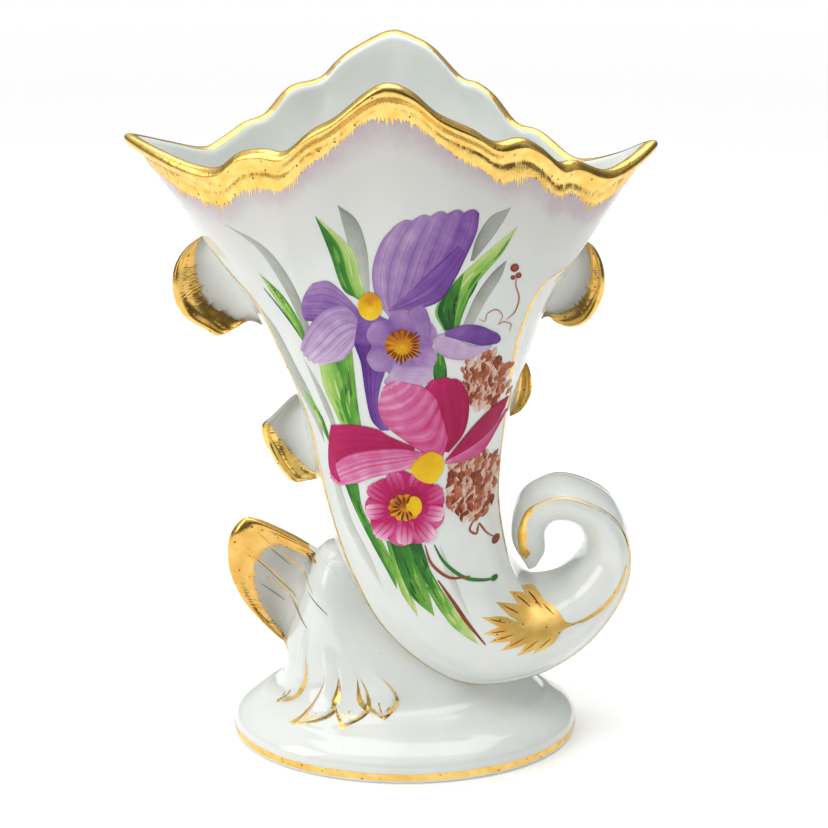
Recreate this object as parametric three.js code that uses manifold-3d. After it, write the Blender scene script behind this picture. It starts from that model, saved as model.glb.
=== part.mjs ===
// Cornucopia flower vase: a flared horn of glazed porcelain that curls into a scroll and stands
// on an oval foot, with gilded leaves along its sides. Millimetres, +Z up, front towards -Y.
// The origin is on the table, under the middle of the mouth.

import * as THREE from 'three';
import { ParametricGeometry } from 'three/addons/geometries/ParametricGeometry.js';
import { mergeVertices } from 'three/addons/utils/BufferGeometryUtils.js';
import Module from 'manifold-3d';

const wasm = await Module();
wasm.setup();

// ---------------------------------------------------------------- driving dimensions

const wall = 3;                  // thickness of the cast wall
const jointGap = 0.3;            // slip joint between two castings

const mouthHalfWidth = 66.5;     // middle to a pointed end of the mouth
const mouthHalfDepth = 38;       // middle to the front or back peak
const tipRise = 146.5;           // bottom of the horn's bend to the pointed ends
const peakRise = 168;            // bottom of the horn's bend to the two peaks
const flareRise = 101;           // bottom of the horn's bend to where the mouth starts to open
const mouthSquareness = 1.25;    // plan of the rim: 1 is a diamond, 2 an ellipse
const bodySquareness = 2.4;      // section of the horn below the mouth

const footHalfLength = 46.8;
const footHalfDepth = 34.5;
const footCentre = 3.3;          // the foot stands a little towards the scroll
const footHeight = 10.8;
const footRimHeight = 5;         // upright edge of the foot
const footRingWidth = 5;         // flat ring that touches the table
const footRecess = 5.5;          // hollow under the foot
const shoulder = 9.4;            // foot's rounded top, outside the neck's seat
const neckHeight = 6.2;          // foot to the bottom of the horn's bend

const leafThickness = 3.2;
const lobeThickness = 4.4;

// ---------------------------------------------------------------- derived sizes

const bendHeight = footHeight + neckHeight;

// Sections of the horn from the flare down, round the bend and up into the scroll. Each gives the
// edge on the outside of the curve, the edge on the inside, both as x and the rise above the
// bottom of the bend, and half of the depth from front to back.
const sections = [
  { outer: [-34, flareRise], inner: [38.6, flareRise], halfDepth: 24.5 },
  { outer: [-24, 78], inner: [31.7, 78], halfDepth: 22.6 },
  { outer: [-20, 56], inner: [28.6, 57], halfDepth: 21 },
  { outer: [-13.5, 34], inner: [30.2, 40], halfDepth: 20.4 },
  { outer: [-3, 15], inner: [33, 31], halfDepth: 20 },
  { outer: [15, 1.2], inner: [37.6, 26.6], halfDepth: 19 },
  { outer: [34, 1.4], inner: [41.8, 26.6], halfDepth: 17.6 },
  { outer: [50, 9.5], inner: [46, 29], halfDepth: 15.2 },
  { outer: [60.5, 22.5], inner: [50, 34], halfDepth: 13 },
  { outer: [64, 35.5], inner: [51, 39], halfDepth: 11.4 },
  { outer: [59.5, 48.3], inner: [48.5, 43.5], halfDepth: 10.2 },
  { outer: [47, 54.8], inner: [43.6, 44.2], halfDepth: 9.2 },
  { outer: [36.8, 50.4], inner: [41.1, 41], halfDepth: 7.8 },
  { outer: [34, 39], inner: [41.2, 35.2], halfDepth: 5.4 },
  { outer: [37, 30.4], inner: [39.4, 31], halfDepth: 2.2 },
];
const jointSection = 5;          // the scroll is luted on at this section
const jointShare = 0.02;         // each side stops this share of a section short of the joint
const hullOverlap = 0.5;         // how far the cutting shapes of horn and scroll pass the joint
const hollowEnd = 8.4;           // the scroll is solid past this section

// The rim's height along the mouth: share of the half width, share of the rise from end to peak.
const frontRim = [
  [-1, 0.08], [-0.86, -0.04], [-0.73, -0.13], [-0.63, -0.11], [-0.55, 0.09], [-0.46, 0.16],
  [-0.38, 0.16], [-0.28, 0.43], [-0.2, 0.58], [-0.07, 0.92], [0, 1], [0.08, 0.9], [0.17, 0.65],
  [0.3, 0.43], [0.38, 0.27], [0.48, 0.28], [0.55, 0.15], [0.62, -0.05], [0.68, -0.05],
  [0.8, -0.22], [0.9, -0.16], [1, 0],
];
const backRim = [
  [-1, 0.08], [-0.88, -0.08], [-0.73, -0.23], [-0.66, -0.14], [-0.58, 0.01], [-0.5, 0.09],
  [-0.41, 0.38], [-0.28, 0.48], [-0.22, 0.66], [-0.15, 0.81], [0, 1], [0.11, 0.91],
  [0.17, 0.8], [0.28, 0.47], [0.34, 0.42], [0.4, 0.3], [0.49, -0.02], [0.58, -0.09],
  [0.7, -0.35], [0.77, -0.36], [0.9, -0.2], [1, 0],
];

// ---------------------------------------------------------------- curves

// The cubic from one value to another that leaves and arrives with the given slopes.
function hermite(from, to, leave, arrive, share) {
  const [square, cube] = [share ** 2, share ** 3];
  return (2 * cube - 3 * square + 1) * from + (cube - 2 * square + share) * leave
    + (3 * square - 2 * cube) * to + (cube - square) * arrive;
}

// A smooth value through knots of [place, value].
function valueAt(knots, place) {
  const last = knots.length - 1;
  let i = 0;
  while (i < last - 1 && knots[i + 1][0] < place) i += 1;
  const slope = (k) => {
    const [x0, y0] = knots[Math.max(0, k - 1)];
    const [x1, y1] = knots[Math.min(last, k + 1)];
    return (y1 - y0) / (x1 - x0);
  };
  const step = knots[i + 1][0] - knots[i][0];
  const share = (place - knots[i][0]) / step;
  return hermite(knots[i][1], knots[i + 1][1], slope(i) * step, slope(i + 1) * step, share);
}

const curveThrough = (points) => new THREE.CatmullRomCurve3(
  points.map(([x, rise]) => new THREE.Vector3(x, 0, rise + bendHeight)), false, 'catmullrom', 0.5);
const outerEdge = curveThrough(sections.map((section) => section.outer));
const innerEdge = curveThrough(sections.map((section) => section.inner));
const depthCurve = curveThrough(sections.map((section) => [0, section.halfDepth - bendHeight]));
const lastSection = sections.length - 1;

// A power that keeps its sign turns a circle into a rounded box or a diamond.
const powered = (value, squareness) => Math.sign(value) * Math.abs(value) ** (2 / squareness);

// A point on the horn below the mouth. station counts the sections, grow moves the skin outwards.
function bodyPoint(station, turn, grow, target) {
  const share = station / lastSection;
  const outer = outerEdge.getPoint(share);
  const inner = innerEdge.getPoint(share);
  const halfWidth = outer.distanceTo(inner) / 2;
  const across = inner.clone().sub(outer).divideScalar(2 * halfWidth);
  const along = powered(Math.cos(turn), bodySquareness);
  const aside = powered(Math.sin(turn), bodySquareness);
  const halfDepth = depthCurve.getPoint(share).z;
  const wedge = 0.3 * Math.min(1, Math.max(0, (station - 4) / 5));
  target.copy(outer).add(inner).divideScalar(2).addScaledVector(across, along * (halfWidth + grow));
  target.y = aside * (halfDepth * (1 - wedge * along) + grow);
  return target;
}

// A point on the flared mouth. open runs from 0, at the top section, to 1, at the rim.
function mouthPoint(open, turn, grow, target) {
  const squareness = bodySquareness + (mouthSquareness - bodySquareness) * open;
  const along = powered(Math.cos(turn), squareness);
  const aside = powered(Math.sin(turn), squareness);
  const [left, right] = [sections[0].outer[0], sections[0].inner[0]];
  const centre = (left + right) / 2 * (1 - open);
  const halfWidth = (right - left) / 2 + (mouthHalfWidth - (right - left) / 2) * open ** 1.05;
  const start = sections[0].halfDepth;
  const halfDepth = start + (mouthHalfDepth - start) * open ** 1.5;
  const rim = valueAt(aside < 0 ? frontRim : backRim, along);
  const rimRise = tipRise + (peakRise - tipRise) * rim;
  target.set(
    centre + along * (halfWidth + grow),
    aside * (halfDepth + grow),
    bendHeight + flareRise + (rimRise - flareRise) * open,
  );
  return target;
}

// The whole horn as one run: -1 is the rim, 0 the top section, then the sections in turn.
function hornPoint(run, turn, grow, target) {
  return run < 0 ? mouthPoint(-run, turn, grow, target) : bodyPoint(run, turn, grow, target);
}

// ---------------------------------------------------------------- making solids

function merged(geometry) {
  const bare = geometry.clone();
  bare.deleteAttribute('normal');
  bare.deleteAttribute('uv');
  return mergeVertices(bare, 1e-3);
}

// A closed skin from rows of [run, turn -> point]; a row with no turn is a single point.
function skinOf(rows, columns) {
  const geometry = new ParametricGeometry((u, v, target) => {
    const row = rows[Math.round(v * (rows.length - 1))];
    row(2 * Math.PI * (u % 1), target);
  }, columns, rows.length - 1);
  return withoutSlivers(merged(geometry));
}

// Rows that close to a point leave triangles with two corners in one place; they are dropped.
function withoutSlivers(geometry) {
  const kept = [];
  const index = geometry.index.array;
  for (let i = 0; i < index.length; i += 3) {
    const [a, b, c] = [index[i], index[i + 1], index[i + 2]];
    if (a !== b && b !== c && c !== a) kept.push(a, b, c);
  }
  geometry.setIndex(kept);
  return geometry;
}

function solidOf(geometry) {
  const clean = merged(geometry);
  return new wasm.Manifold(new wasm.Mesh({
    numProp: 3,
    vertProperties: new Float32Array(clean.attributes.position.array),
    triVerts: new Uint32Array(clean.index.array),
  }));
}

function geometryOf(solid) {
  const mesh = solid.getMesh();
  const geometry = new THREE.BufferGeometry();
  geometry.setAttribute('position', new THREE.BufferAttribute(mesh.vertProperties, 3));
  geometry.setIndex(new THREE.BufferAttribute(mesh.triVerts, 1));
  geometry.computeVertexNormals();
  return geometry;
}

const evenly = (from, to, steps) => Array.from(
  { length: steps + 1 }, (_, i) => from + (to - from) * i / steps);

const ringAt = (run, grow) => (turn, target) => hornPoint(run, turn, grow, target);

// The middle of a ring, which closes a skin flat.
const middleAt = (run, grow) => (turn, target) => {
  const opposite = new THREE.Vector3();
  hornPoint(run, 0, grow, target);
  hornPoint(run, Math.PI, grow, opposite);
  target.add(opposite).divideScalar(2);
  target.y = 0;
};

// ---------------------------------------------------------------- the horn and its scroll

const around = 52;

// The thrown-open vessel: up the outside, over the rim and down the inside to the joint.
function hornVessel() {
  const end = jointSection - jointShare;
  const outside = [...evenly(end, 0, 11), ...evenly(-0.2, -1, 5)];
  const inside = [...evenly(-1, -0.2, 4), ...evenly(0, end, 9)];
  const rows = [
    ...outside.map((run) => ringAt(run, 0)),
    ...inside.map((run) => ringAt(run, -wall)),
    ringAt(end, 0),
  ];
  return skinOf(rows, around);
}

// The scroll: hollow behind its joint with the horn, then solid to its curled tip.
function tailScroll() {
  const start = jointSection + jointShare;
  const outside = evenly(lastSection, start, 26);
  const hollow = evenly(start, hollowEnd, 6);
  const rows = [
    middleAt(lastSection, 0),
    ...outside.map((run) => ringAt(run, 0)),
    ...hollow.map((run) => ringAt(run, -wall)),
    middleAt(hollowEnd, 0),
  ];
  return skinOf(rows, 32);
}

// The horn or the scroll without its hollow, a joint's gap larger, to cut what is luted to it.
function hornCutter(from, to, steps) {
  const rows = [
    middleAt(from, 0),
    ...evenly(from, to, steps).map((run) => ringAt(run, jointGap)),
    middleAt(to, 0),
  ];
  return solidOf(skinOf(rows, around));
}

// ---------------------------------------------------------------- the foot and the neck

// A lathe turned to a circle and pressed to an oval: a rounded shoulder, a flat seat on top and
// a recess below. grow gives the larger copy that cuts the lobes lying on it.
function footPlinth(grow = 0) {
  const edge = footHalfLength + grow;
  const seat = footHalfLength - shoulder;
  const recess = footHalfLength - footRingWidth;
  const outline = [
    [0, footRecess], [recess - 6, footRecess], [recess - 1.5, footRecess - 1.6], [recess, 0],
    [edge - 1.2, 0], [edge - 0.2, 0.9], [edge, 2.6], [edge - 0.3, footRimHeight],
    [edge - 1.7, footRimHeight + 1.8 + grow], [edge - 4.2, footHeight - 2.2 + grow],
    [edge - 7, footHeight - 0.7 + grow], [seat, footHeight + grow], [0, footHeight + grow],
  ];
  const geometry = new THREE.LatheGeometry(outline.map(([r, z]) => new THREE.Vector2(r, z)), 48);
  geometry.rotateX(Math.PI / 2);
  geometry.scale(1, (footHalfDepth + grow) / edge, 1);
  geometry.translate(footCentre, 0, 0);
  return withoutSlivers(merged(geometry));
}

// Level sections of the neck: share of its height, left and right edges, half of the depth.
// It spreads on the foot and climbs the left side of the horn as a leafy buttress.
function neckSections() {
  const seat = footHalfLength - shoulder;
  const pressed = footHalfDepth / footHalfLength;
  const base = footHeight + jointGap;
  return [
    { z: base, left: footCentre - seat, right: footCentre + seat, halfDepth: seat * pressed },
    { z: base + 1.4, left: footCentre - seat + 2.6, right: footCentre + seat - 3, halfDepth: 24.5 },
    { z: bendHeight - 2, left: -30.5, right: 35, halfDepth: 20.5 },
    { z: bendHeight + 3, left: -29.2, right: 33, halfDepth: 18 },
    { z: bendHeight + 10, left: -30.6, right: 22, halfDepth: 16 },
    { z: bendHeight + 19, left: -31.5, right: 4, halfDepth: 13.5 },
    { z: bendHeight + 29, left: -27, right: -3, halfDepth: 10 },
    { z: bendHeight + 37, left: -20.5, right: -9, halfDepth: 5 },
  ];
}

function neckSkin(grow = 0) {
  const levels = neckSections();
  const ring = ({ z, left, right, halfDepth }) => (turn, target) => target.set(
    (left + right) / 2 + Math.cos(turn) * ((right - left) / 2 + grow),
    Math.sin(turn) * (halfDepth + grow), z);
  const middle = ({ z, left, right }) => (turn, target) => target.set((left + right) / 2, 0, z);
  const last = levels.length - 1;
  const rows = [middle(levels[0]), ...levels.map(ring), middle(levels[last])];
  return skinOf(rows, 40);
}

// ---------------------------------------------------------------- leaves

// A dished leaf: a closed outline in x and z, hollow towards the front and rounded behind.
function dishedLeaf({ outline, y, cup }) {
  const flat = outline.map(([x, z]) => new THREE.Vector2(x, z));
  if (!THREE.ShapeUtils.isClockWise(flat)) flat.reverse();
  const points = flat.map((point) => new THREE.Vector3(point.x, y, point.y));
  const edge = new THREE.CatmullRomCurve3(points, true, 'catmullrom', 0.6);
  const middle = new THREE.Vector3();
  points.forEach((point) => middle.addScaledVector(point, 1 / points.length));
  const face = (reach, behind) => (turn, target) => {
    const point = edge.getPoint(turn / (2 * Math.PI));
    target.copy(middle).lerp(point, reach);
    const round = Math.sqrt(1 - Math.min(1, reach) ** 4);
    target.y = y + cup * (1 - reach ** 2) + (behind ? leafThickness * round : 0);
  };
  const reaches = [0, 0.35, 0.65, 0.86];
  const rows = [
    ...reaches.map((reach) => face(reach, false)),
    face(1, false),
    ...reaches.slice().reverse().map((reach) => face(reach, true)),
  ];
  return solidOf(skinOf(rows, 26));
}

// The x of the horn's side at a height, where a leaf is luted on. side is -1 left, 1 right.
function sideAt(z, side) {
  const turn = side < 0 ? Math.PI : 0;
  const probe = new THREE.Vector3();
  const runs = evenly(-1, jointSection - 1, 240);
  let best = { miss: Infinity, x: 0 };
  runs.forEach((run) => {
    hornPoint(run, turn, 0, probe);
    const miss = Math.abs(probe.z - z);
    if (miss < best.miss) best = { miss, x: probe.x };
  });
  return best.x;
}

// Leaf outlines hang on the horn's side: x is how far a point stands out, z its rise. A negative
// x is inside the horn, where the leaf is cut away to fit.
function sideLeaf({ side, rise, outline, y, cup }) {
  const root = sideAt(bendHeight + rise, side);
  const placed = outline.map(([out, up]) => [root + side * out, bendHeight + rise + up]);
  return dishedLeaf({ outline: placed, y, cup });
}

const upperLeftLeaf = {
  side: -1, rise: 110, y: -3, cup: 5,
  outline: [[1, 10], [9, 9.5], [14.8, 5], [17.6, 0.4], [17.2, -5.6], [14, -10.4],
    [9, -12.8], [5, -14.6], [1.6, -12.6], [-4, -10], [-8, -3], [-5, 6]],
};
const upperRightLeaf = {
  side: 1, rise: 110, y: -3, cup: 5,
  outline: [[1, 9.5], [7, 9], [11, 4], [11.7, 0], [10.7, -5], [7.6, -10.2],
    [3.6, -11.4], [-0.6, -9.6], [-6, -5], [-6, 4]],
};
const middleLeftLeaf = {
  side: -1, rise: 67, y: -2, cup: 4,
  outline: [[-4, 12], [3, 10.4], [8.6, 5.6], [11, 4], [10.8, 0.2], [7.4, -7],
    [3.4, -11.6], [0, -11.4], [-5, -9], [-6, 2]],
};
const middleRightLeaf = {
  side: 1, rise: 80, y: 7, cup: 1,
  outline: [[-3, 9.5], [2.2, 7.4], [4, 2.8], [3.6, -1.6], [1.8, -5.2], [-3, -8], [-5, 0]],
};
const lowerLeftLeaf = {
  side: -1, rise: 30, y: -6, cup: 6,
  outline: [[5.2, 5.4], [12.4, 10.8], [21, 14.6], [25, 13.6], [27.6, 8.4], [27.8, -2],
    [24.4, -9.4], [18, -17], [13.6, -20], [7, -16], [2, -8], [1.4, 0]],
};

// Tongues of the acanthus skirt: how far round the foot's left front the tip lies, in degrees
// from the left end, and the shares of the foot's size at which it starts and ends.
const lobes = [
  { round: 10, start: 0.58, end: 0.86, halfWidth: 3.4 },
  { round: 42, start: 0.52, end: 0.88, halfWidth: 4 },
  { round: 60, start: 0.44, end: 0.76, halfWidth: 4.4 },
  { round: 77, start: 0.4, end: 0.68, halfWidth: 4.2 },
];
const skirtSlope = 13;           // fall of the skirt over the whole length of the foot

// A tongue is a long drop, widest at two thirds of its length and pointed at its tip.
function acanthusLobe({ round, start, end, halfWidth }) {
  const angle = THREE.MathUtils.degToRad(180 + round);
  const place = (share) => new THREE.Vector3(
    footCentre + Math.cos(angle) * footHalfLength * share,
    Math.sin(angle) * footHalfDepth * share,
    footHeight + 0.6 + (0.88 - share) * skirtSlope);
  const from = place(start);
  const to = place(end);
  const aside = to.clone().sub(from).cross(new THREE.Vector3(0, 0, 1)).normalize();
  const up = aside.clone().cross(to.clone().sub(from)).normalize();
  const ring = (share) => (turn, target) => {
    const swell = Math.sin(Math.PI * share ** 1.3) ** 0.75;
    target.copy(from).lerp(to, share);
    target.addScaledVector(aside, Math.cos(turn) * halfWidth * swell);
    target.addScaledVector(up, Math.sin(turn) * lobeThickness / 2 * swell);
  };
  return solidOf(skinOf(evenly(1, 0, 9).map(ring), 14));
}

// ---------------------------------------------------------------- assembly

const glaze = { color: 0xf3f4f2, roughness: 0.12, metalness: 0 };
const gilt = { color: 0xc8922a, roughness: 0.25, metalness: 0.9 };

const vase = new THREE.Group();

function addPart(name, geometry, finish) {
  const mesh = new THREE.Mesh(geometry, new THREE.MeshStandardMaterial(finish));
  mesh.name = name;
  geometry.computeVertexNormals();
  vase.add(mesh);
}

const hornHull = hornCutter(jointSection + hullOverlap, -1, 20);
const scrollHull = hornCutter(lastSection, jointSection - hullOverlap, 26);
const footHull = solidOf(footPlinth(jointGap));
const neck = solidOf(neckSkin()).subtract(hornHull).subtract(scrollHull);
const neckHull = solidOf(neckSkin(jointGap));

addPart('horn_vessel', hornVessel(), glaze);
addPart('tail_scroll', tailScroll(), glaze);
addPart('foot_plinth', footPlinth(), glaze);
addPart('support_neck', geometryOf(neck), glaze);

const leaves = {
  leaf_upper_left: upperLeftLeaf,
  leaf_upper_right: upperRightLeaf,
  leaf_middle_left: middleLeftLeaf,
  leaf_middle_right: middleRightLeaf,
  leaf_lower_left: lowerLeftLeaf,
};
for (const [name, leaf] of Object.entries(leaves)) {
  const solid = sideLeaf(leaf).subtract(hornHull).subtract(neckHull);
  addPart(name, geometryOf(solid), gilt);
}

lobes.forEach((lobe, i) => {
  const solid = acanthusLobe(lobe).subtract(footHull).subtract(neckHull);
  addPart(`foot_acanthus_lobe_${i + 1}`, geometryOf(solid), glaze);
});

export default vase;
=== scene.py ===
# %% [markdown]
# # A porcelain cornucopia vase
# The vase is a flared horn that curls into a scroll and stands on an oval foot. Gold leaf shapes
# grow from its sides, the mouth is edged with brushed gold, and a spray of flowers is painted on
# the front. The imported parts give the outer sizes. This lesson draws the curves between them
# again, more finely, and gives every piece its finish.

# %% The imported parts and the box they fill
import bisect
import functools
import math
import random
import bpy
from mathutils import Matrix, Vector
from mathutils.bvhtree import BVHTree


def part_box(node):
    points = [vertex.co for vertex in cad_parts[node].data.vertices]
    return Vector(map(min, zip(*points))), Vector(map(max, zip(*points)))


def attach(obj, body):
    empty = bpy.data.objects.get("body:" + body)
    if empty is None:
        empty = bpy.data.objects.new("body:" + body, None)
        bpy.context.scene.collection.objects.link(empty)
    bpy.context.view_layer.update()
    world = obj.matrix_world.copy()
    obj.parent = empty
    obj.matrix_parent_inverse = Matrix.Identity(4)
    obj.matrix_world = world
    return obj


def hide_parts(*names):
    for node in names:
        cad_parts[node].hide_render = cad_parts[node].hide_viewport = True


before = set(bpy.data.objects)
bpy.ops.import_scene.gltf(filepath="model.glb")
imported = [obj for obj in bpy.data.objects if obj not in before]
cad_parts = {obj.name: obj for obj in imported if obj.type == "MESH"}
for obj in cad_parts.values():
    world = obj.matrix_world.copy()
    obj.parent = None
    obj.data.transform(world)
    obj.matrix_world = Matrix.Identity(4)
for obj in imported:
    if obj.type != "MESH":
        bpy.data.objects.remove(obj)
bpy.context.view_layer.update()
mm = 0.001

# %% [markdown]
# ## The camera
# A small object seen from a little above is best shown with a long lens from a good arm's length.
# A camera can be aimed at a target, but a height, a distance and a tilt are easier to measure.

# %% Camera
camera_distance = 545 * mm
camera_height = 281 * mm
camera_aside = 5.8 * mm
camera_pitch = math.radians(19.26)
camera_lens = 95.65

bpy.ops.object.camera_add(
    location=(camera_aside, -camera_distance, camera_height),
    rotation=(math.pi / 2 - camera_pitch, 0, 0),
)
camera = bpy.context.object
camera.data.lens = camera_lens
camera.data.clip_start = 0.01
bpy.context.scene.camera = camera
print("camera", [round(c, 3) for c in camera.location], "lens", camera_lens)

# %% [markdown]
# ## A net of faces
# Every cast and painted piece here starts as a flat grid whose corners are then moved to where a
# formula puts them, as a potter wraps a slab round a former. Porcelain like this has no flat side
# and no straight edge, so extruding and bevelling a box would never reach its shape, while a
# formula can be shared by the clay and by the gold that lies on it. The grid keeps its UV map, so
# a finish can follow the piece.

# %% Helper: wrap a grid
weld = 0.002 * mm


def only(piece):
    """Selects this piece and nothing else."""
    bpy.ops.object.select_all(action="DESELECT")
    piece.select_set(True)
    bpy.context.view_layer.objects.active = piece


def tidy_mesh(piece, closed):
    """Joins the seam and the poles, and on a closed piece turns the faces outwards."""
    only(piece)
    bpy.ops.object.mode_set(mode="EDIT")
    bpy.ops.mesh.select_all(action="SELECT")
    bpy.ops.mesh.remove_doubles(threshold=weld)
    if closed:
        bpy.ops.mesh.normals_make_consistent(inside=False)
    bpy.ops.object.mode_set(mode="OBJECT")
    bpy.ops.object.shade_smooth()


def wrapped_grid(name, columns, rows, place, closed=True, notes=()):
    """A grid whose corner (u, v) goes to place(u, v). notes are attributes: name -> note(u, v)."""
    bpy.ops.object.select_all(action="DESELECT")
    bpy.ops.mesh.primitive_grid_add(x_subdivisions=columns, y_subdivisions=rows, size=2)
    piece = bpy.context.object
    piece.name = piece.data.name = name
    corners = [((p.co.x + 1) / 2, (p.co.y + 1) / 2) for p in piece.data.vertices]
    for attribute, note in dict(notes).items():
        layer = piece.data.attributes.new(attribute, "FLOAT", "POINT")
        for spot, (u, v) in zip(layer.data, corners):
            spot.value = note(u, v)
    for point, (u, v) in zip(piece.data.vertices, corners):
        point.co = place(u, v)
    tidy_mesh(piece, closed)
    return piece


print("corners nearer than", weld / mm, "mm are joined")

# %% Helper: smooth curves
def hermite(p0, p1, m0, m1, t):
    """The cubic from p0 to p1 that leaves with slope m0 and arrives with slope m1."""
    return ((2 * t**3 - 3 * t**2 + 1) * p0 + (t**3 - 2 * t**2 + t) * m0
            + (-2 * t**3 + 3 * t**2) * p1 + (t**3 - t**2) * m1)


def along_points(points, place):
    """The point at a place on the smooth curve through points, which place counts from 0."""
    last = len(points) - 1
    i = max(0, min(last - 1, math.floor(place)))
    p0, p1 = Vector(points[i]), Vector(points[i + 1])
    before = Vector(points[i - 1]) if i > 0 else 2 * p0 - p1
    after = Vector(points[i + 2]) if i + 2 <= last else 2 * p1 - p0
    return hermite(p0, p1, (p1 - before) / 2, (after - p0) / 2, place - i)


def value_at(knots, place):
    """A smooth value through knots of (place, value)."""
    last = len(knots) - 1
    i = 0
    while i < last - 1 and knots[i + 1][0] < place:
        i += 1

    def slope(k):
        (x0, y0), (x1, y1) = knots[max(0, k - 1)], knots[min(last, k + 1)]
        return (y1 - y0) / (x1 - x0)

    (x0, y0), (x1, y1) = knots[i], knots[i + 1]
    step = x1 - x0
    share = min(1.0, max(0.0, (place - x0) / step))
    return hermite(y0, y1, slope(i) * step, slope(i + 1) * step, share)


print("half way up an even slope", value_at([(0, 0), (1, 1)], 0.5))

# %% [markdown]
# ## The horn
# The real horn is slip-cast, so its wall has the same thickness all over. It is lofted here
# through sections that run from the mouth, down round the bend and up into the scroll. A round
# section becomes boxy below and a diamond at the mouth by raising its sine and cosine to a power.

# %% Sizes of the horn
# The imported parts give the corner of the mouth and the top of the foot.
_, horn_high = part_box("horn_vessel")
_, foot_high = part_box("foot_plinth")
wall = 3 * mm
neck_height = 6.2 * mm
bend_height = foot_high.z + neck_height
mouth_half_width = horn_high.x
mouth_half_depth = horn_high.y
peak_rise = horn_high.z - bend_height
tip_rise = 146.5 * mm
flare_rise = 101 * mm
mouth_squareness = 1.25
body_squareness = 2.4
flare_wide = 1.05
flare_deep = 1.5
print("bend", round(bend_height / mm, 2), "peak", round(peak_rise / mm, 2))

# %% Sections of the horn
# Each section: outer edge x and rise, inner edge x and rise, half of the depth, all in mm.
sections = [
    (-34, 101, 38.6, 101, 24.5), (-24, 78, 31.7, 78, 22.6), (-20, 56, 28.6, 57, 21),
    (-13.5, 34, 30.2, 40, 20.4), (-3, 15, 33, 31, 20), (15, 1.2, 37.6, 26.6, 19),
    (34, 1.4, 41.8, 26.6, 17.6), (50, 9.5, 46, 29, 15.2), (60.5, 22.5, 50, 34, 13),
    (64, 35.5, 51, 39, 11.4), (59.5, 48.3, 48.5, 43.5, 10.2), (45.6, 55, 43.4, 44.2, 9.2),
    (34.4, 51, 41, 41, 7.8), (31.8, 39.4, 41, 35.2, 5.4), (36.2, 30.2, 39, 31, 2.2),
]
last_section = len(sections) - 1
hollow_end = 8.4
scroll_wedge = 0.3
print("sections", len(sections))

# %% [markdown]
# ## The scalloped rim
# The caster trims the soft mouth into scallops that climb to a peak in the middle of each side. A
# wave along the edge would make them all alike. No two of these are, so the height of the rim is
# a curve through knots, one curve for the front and one for the back.

# %% The scalloped rim
# Each knot: share of the half width, share of the rise from the pointed ends to the peaks.
front_rim = [
    (-1, 0.08), (-0.86, -0.04), (-0.73, -0.13), (-0.63, -0.11), (-0.55, 0.09), (-0.46, 0.16),
    (-0.38, 0.16), (-0.28, 0.43), (-0.2, 0.58), (-0.07, 0.92), (0, 1), (0.08, 0.9), (0.17, 0.65),
    (0.3, 0.43), (0.38, 0.27), (0.48, 0.28), (0.55, 0.15), (0.62, -0.05), (0.68, -0.05),
    (0.8, -0.22), (0.9, -0.16), (1, 0),
]
back_rim = [
    (-1, 0.08), (-0.88, -0.08), (-0.73, -0.23), (-0.66, -0.14), (-0.58, 0.01), (-0.5, 0.09),
    (-0.41, 0.38), (-0.28, 0.48), (-0.22, 0.66), (-0.15, 0.81), (0, 1), (0.11, 0.91),
    (0.17, 0.8), (0.28, 0.47), (0.34, 0.42), (0.4, 0.3), (0.49, -0.02), (0.58, -0.09),
    (0.7, -0.35), (0.77, -0.36), (0.9, -0.2), (1, 0),
]
print("scallops drawn through", len(front_rim) + len(back_rim), "knots")


# %% The sections as a formula
def powered(value, squareness):
    """Turns a round section boxy above a squareness of 2 and pointed below it."""
    return math.copysign(abs(value) ** (2 / squareness), value)


@functools.cache
def section_at(station):
    """Middle, direction across, half width and half depth of the section at a station."""
    outer_x, outer_z, inner_x, inner_z, half_depth = (
        value * mm for value in along_points(sections, station))
    outer = Vector((outer_x, 0, outer_z + bend_height))
    inner = Vector((inner_x, 0, inner_z + bend_height))
    across = inner - outer
    return (outer + inner) / 2, across.normalized(), across.length / 2, half_depth


print("width at the top section", round(2 * section_at(0)[2] / mm, 1), "mm")

# %% [markdown]
# ## The soft ridges
# Two low ridges frame the front of the real horn, and two the back. They come from the mould, and
# the painter runs a gold line along each. They could be sculpted, but a bump that is added to the
# formula lets the gold find them again.

# %% Ridges
# They stand this many degrees from the outer and the inner edge of each section.
outer_ridge = [(-1, 4), (-0.45, 16), (-0.2, 32), (0, 31), (1, 29), (2, 35), (4, 38), (6, 40),
               (9, 44), (11, 52), (12.4, 64), (13.3, 72), (14, 78)]
inner_ridge = [(-1, 4), (-0.45, 22), (-0.3, 36), (0, 39), (0.6, 35), (1.4, 25), (2.5, 20),
               (4, 17)]
ridge_height = 0.7 * mm
ridge_spread = 5.0


def crest(run, turn):
    """The height of the soft ridges that frame the front and the back."""
    degrees = math.degrees(turn) % 360
    from_outer = abs(abs(degrees - 180) - value_at(outer_ridge, run))
    from_inner = abs(min(degrees, 360 - degrees) - value_at(inner_ridge, run))
    tail = min(1.0, max(0.0, (last_section - run) / 3))
    inner_part = min(1.0, max(0.0, 4.4 - run))
    high = math.exp(-(from_outer / ridge_spread) ** 2) * tail
    return ridge_height * (high + inner_part * math.exp(-(from_inner / ridge_spread) ** 2))


print("ridge", ridge_height / mm, "mm high")


# %% Points on the horn
def body_point(station, turn, grow=0.0):
    """Below the mouth. grow moves the point out from the wall, or in where it is negative."""
    middle, across, half_width, half_depth = section_at(station)
    if grow > -wall / 2:
        grow = grow + crest(station, turn)
    along = powered(math.cos(turn), body_squareness)
    aside = powered(math.sin(turn), body_squareness)
    wedge = scroll_wedge * min(1.0, max(0.0, (station - 4) / 5))
    point = middle + across * along * (half_width + grow)
    point.y = aside * (half_depth * (1 - wedge * along) + grow)
    return point


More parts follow.
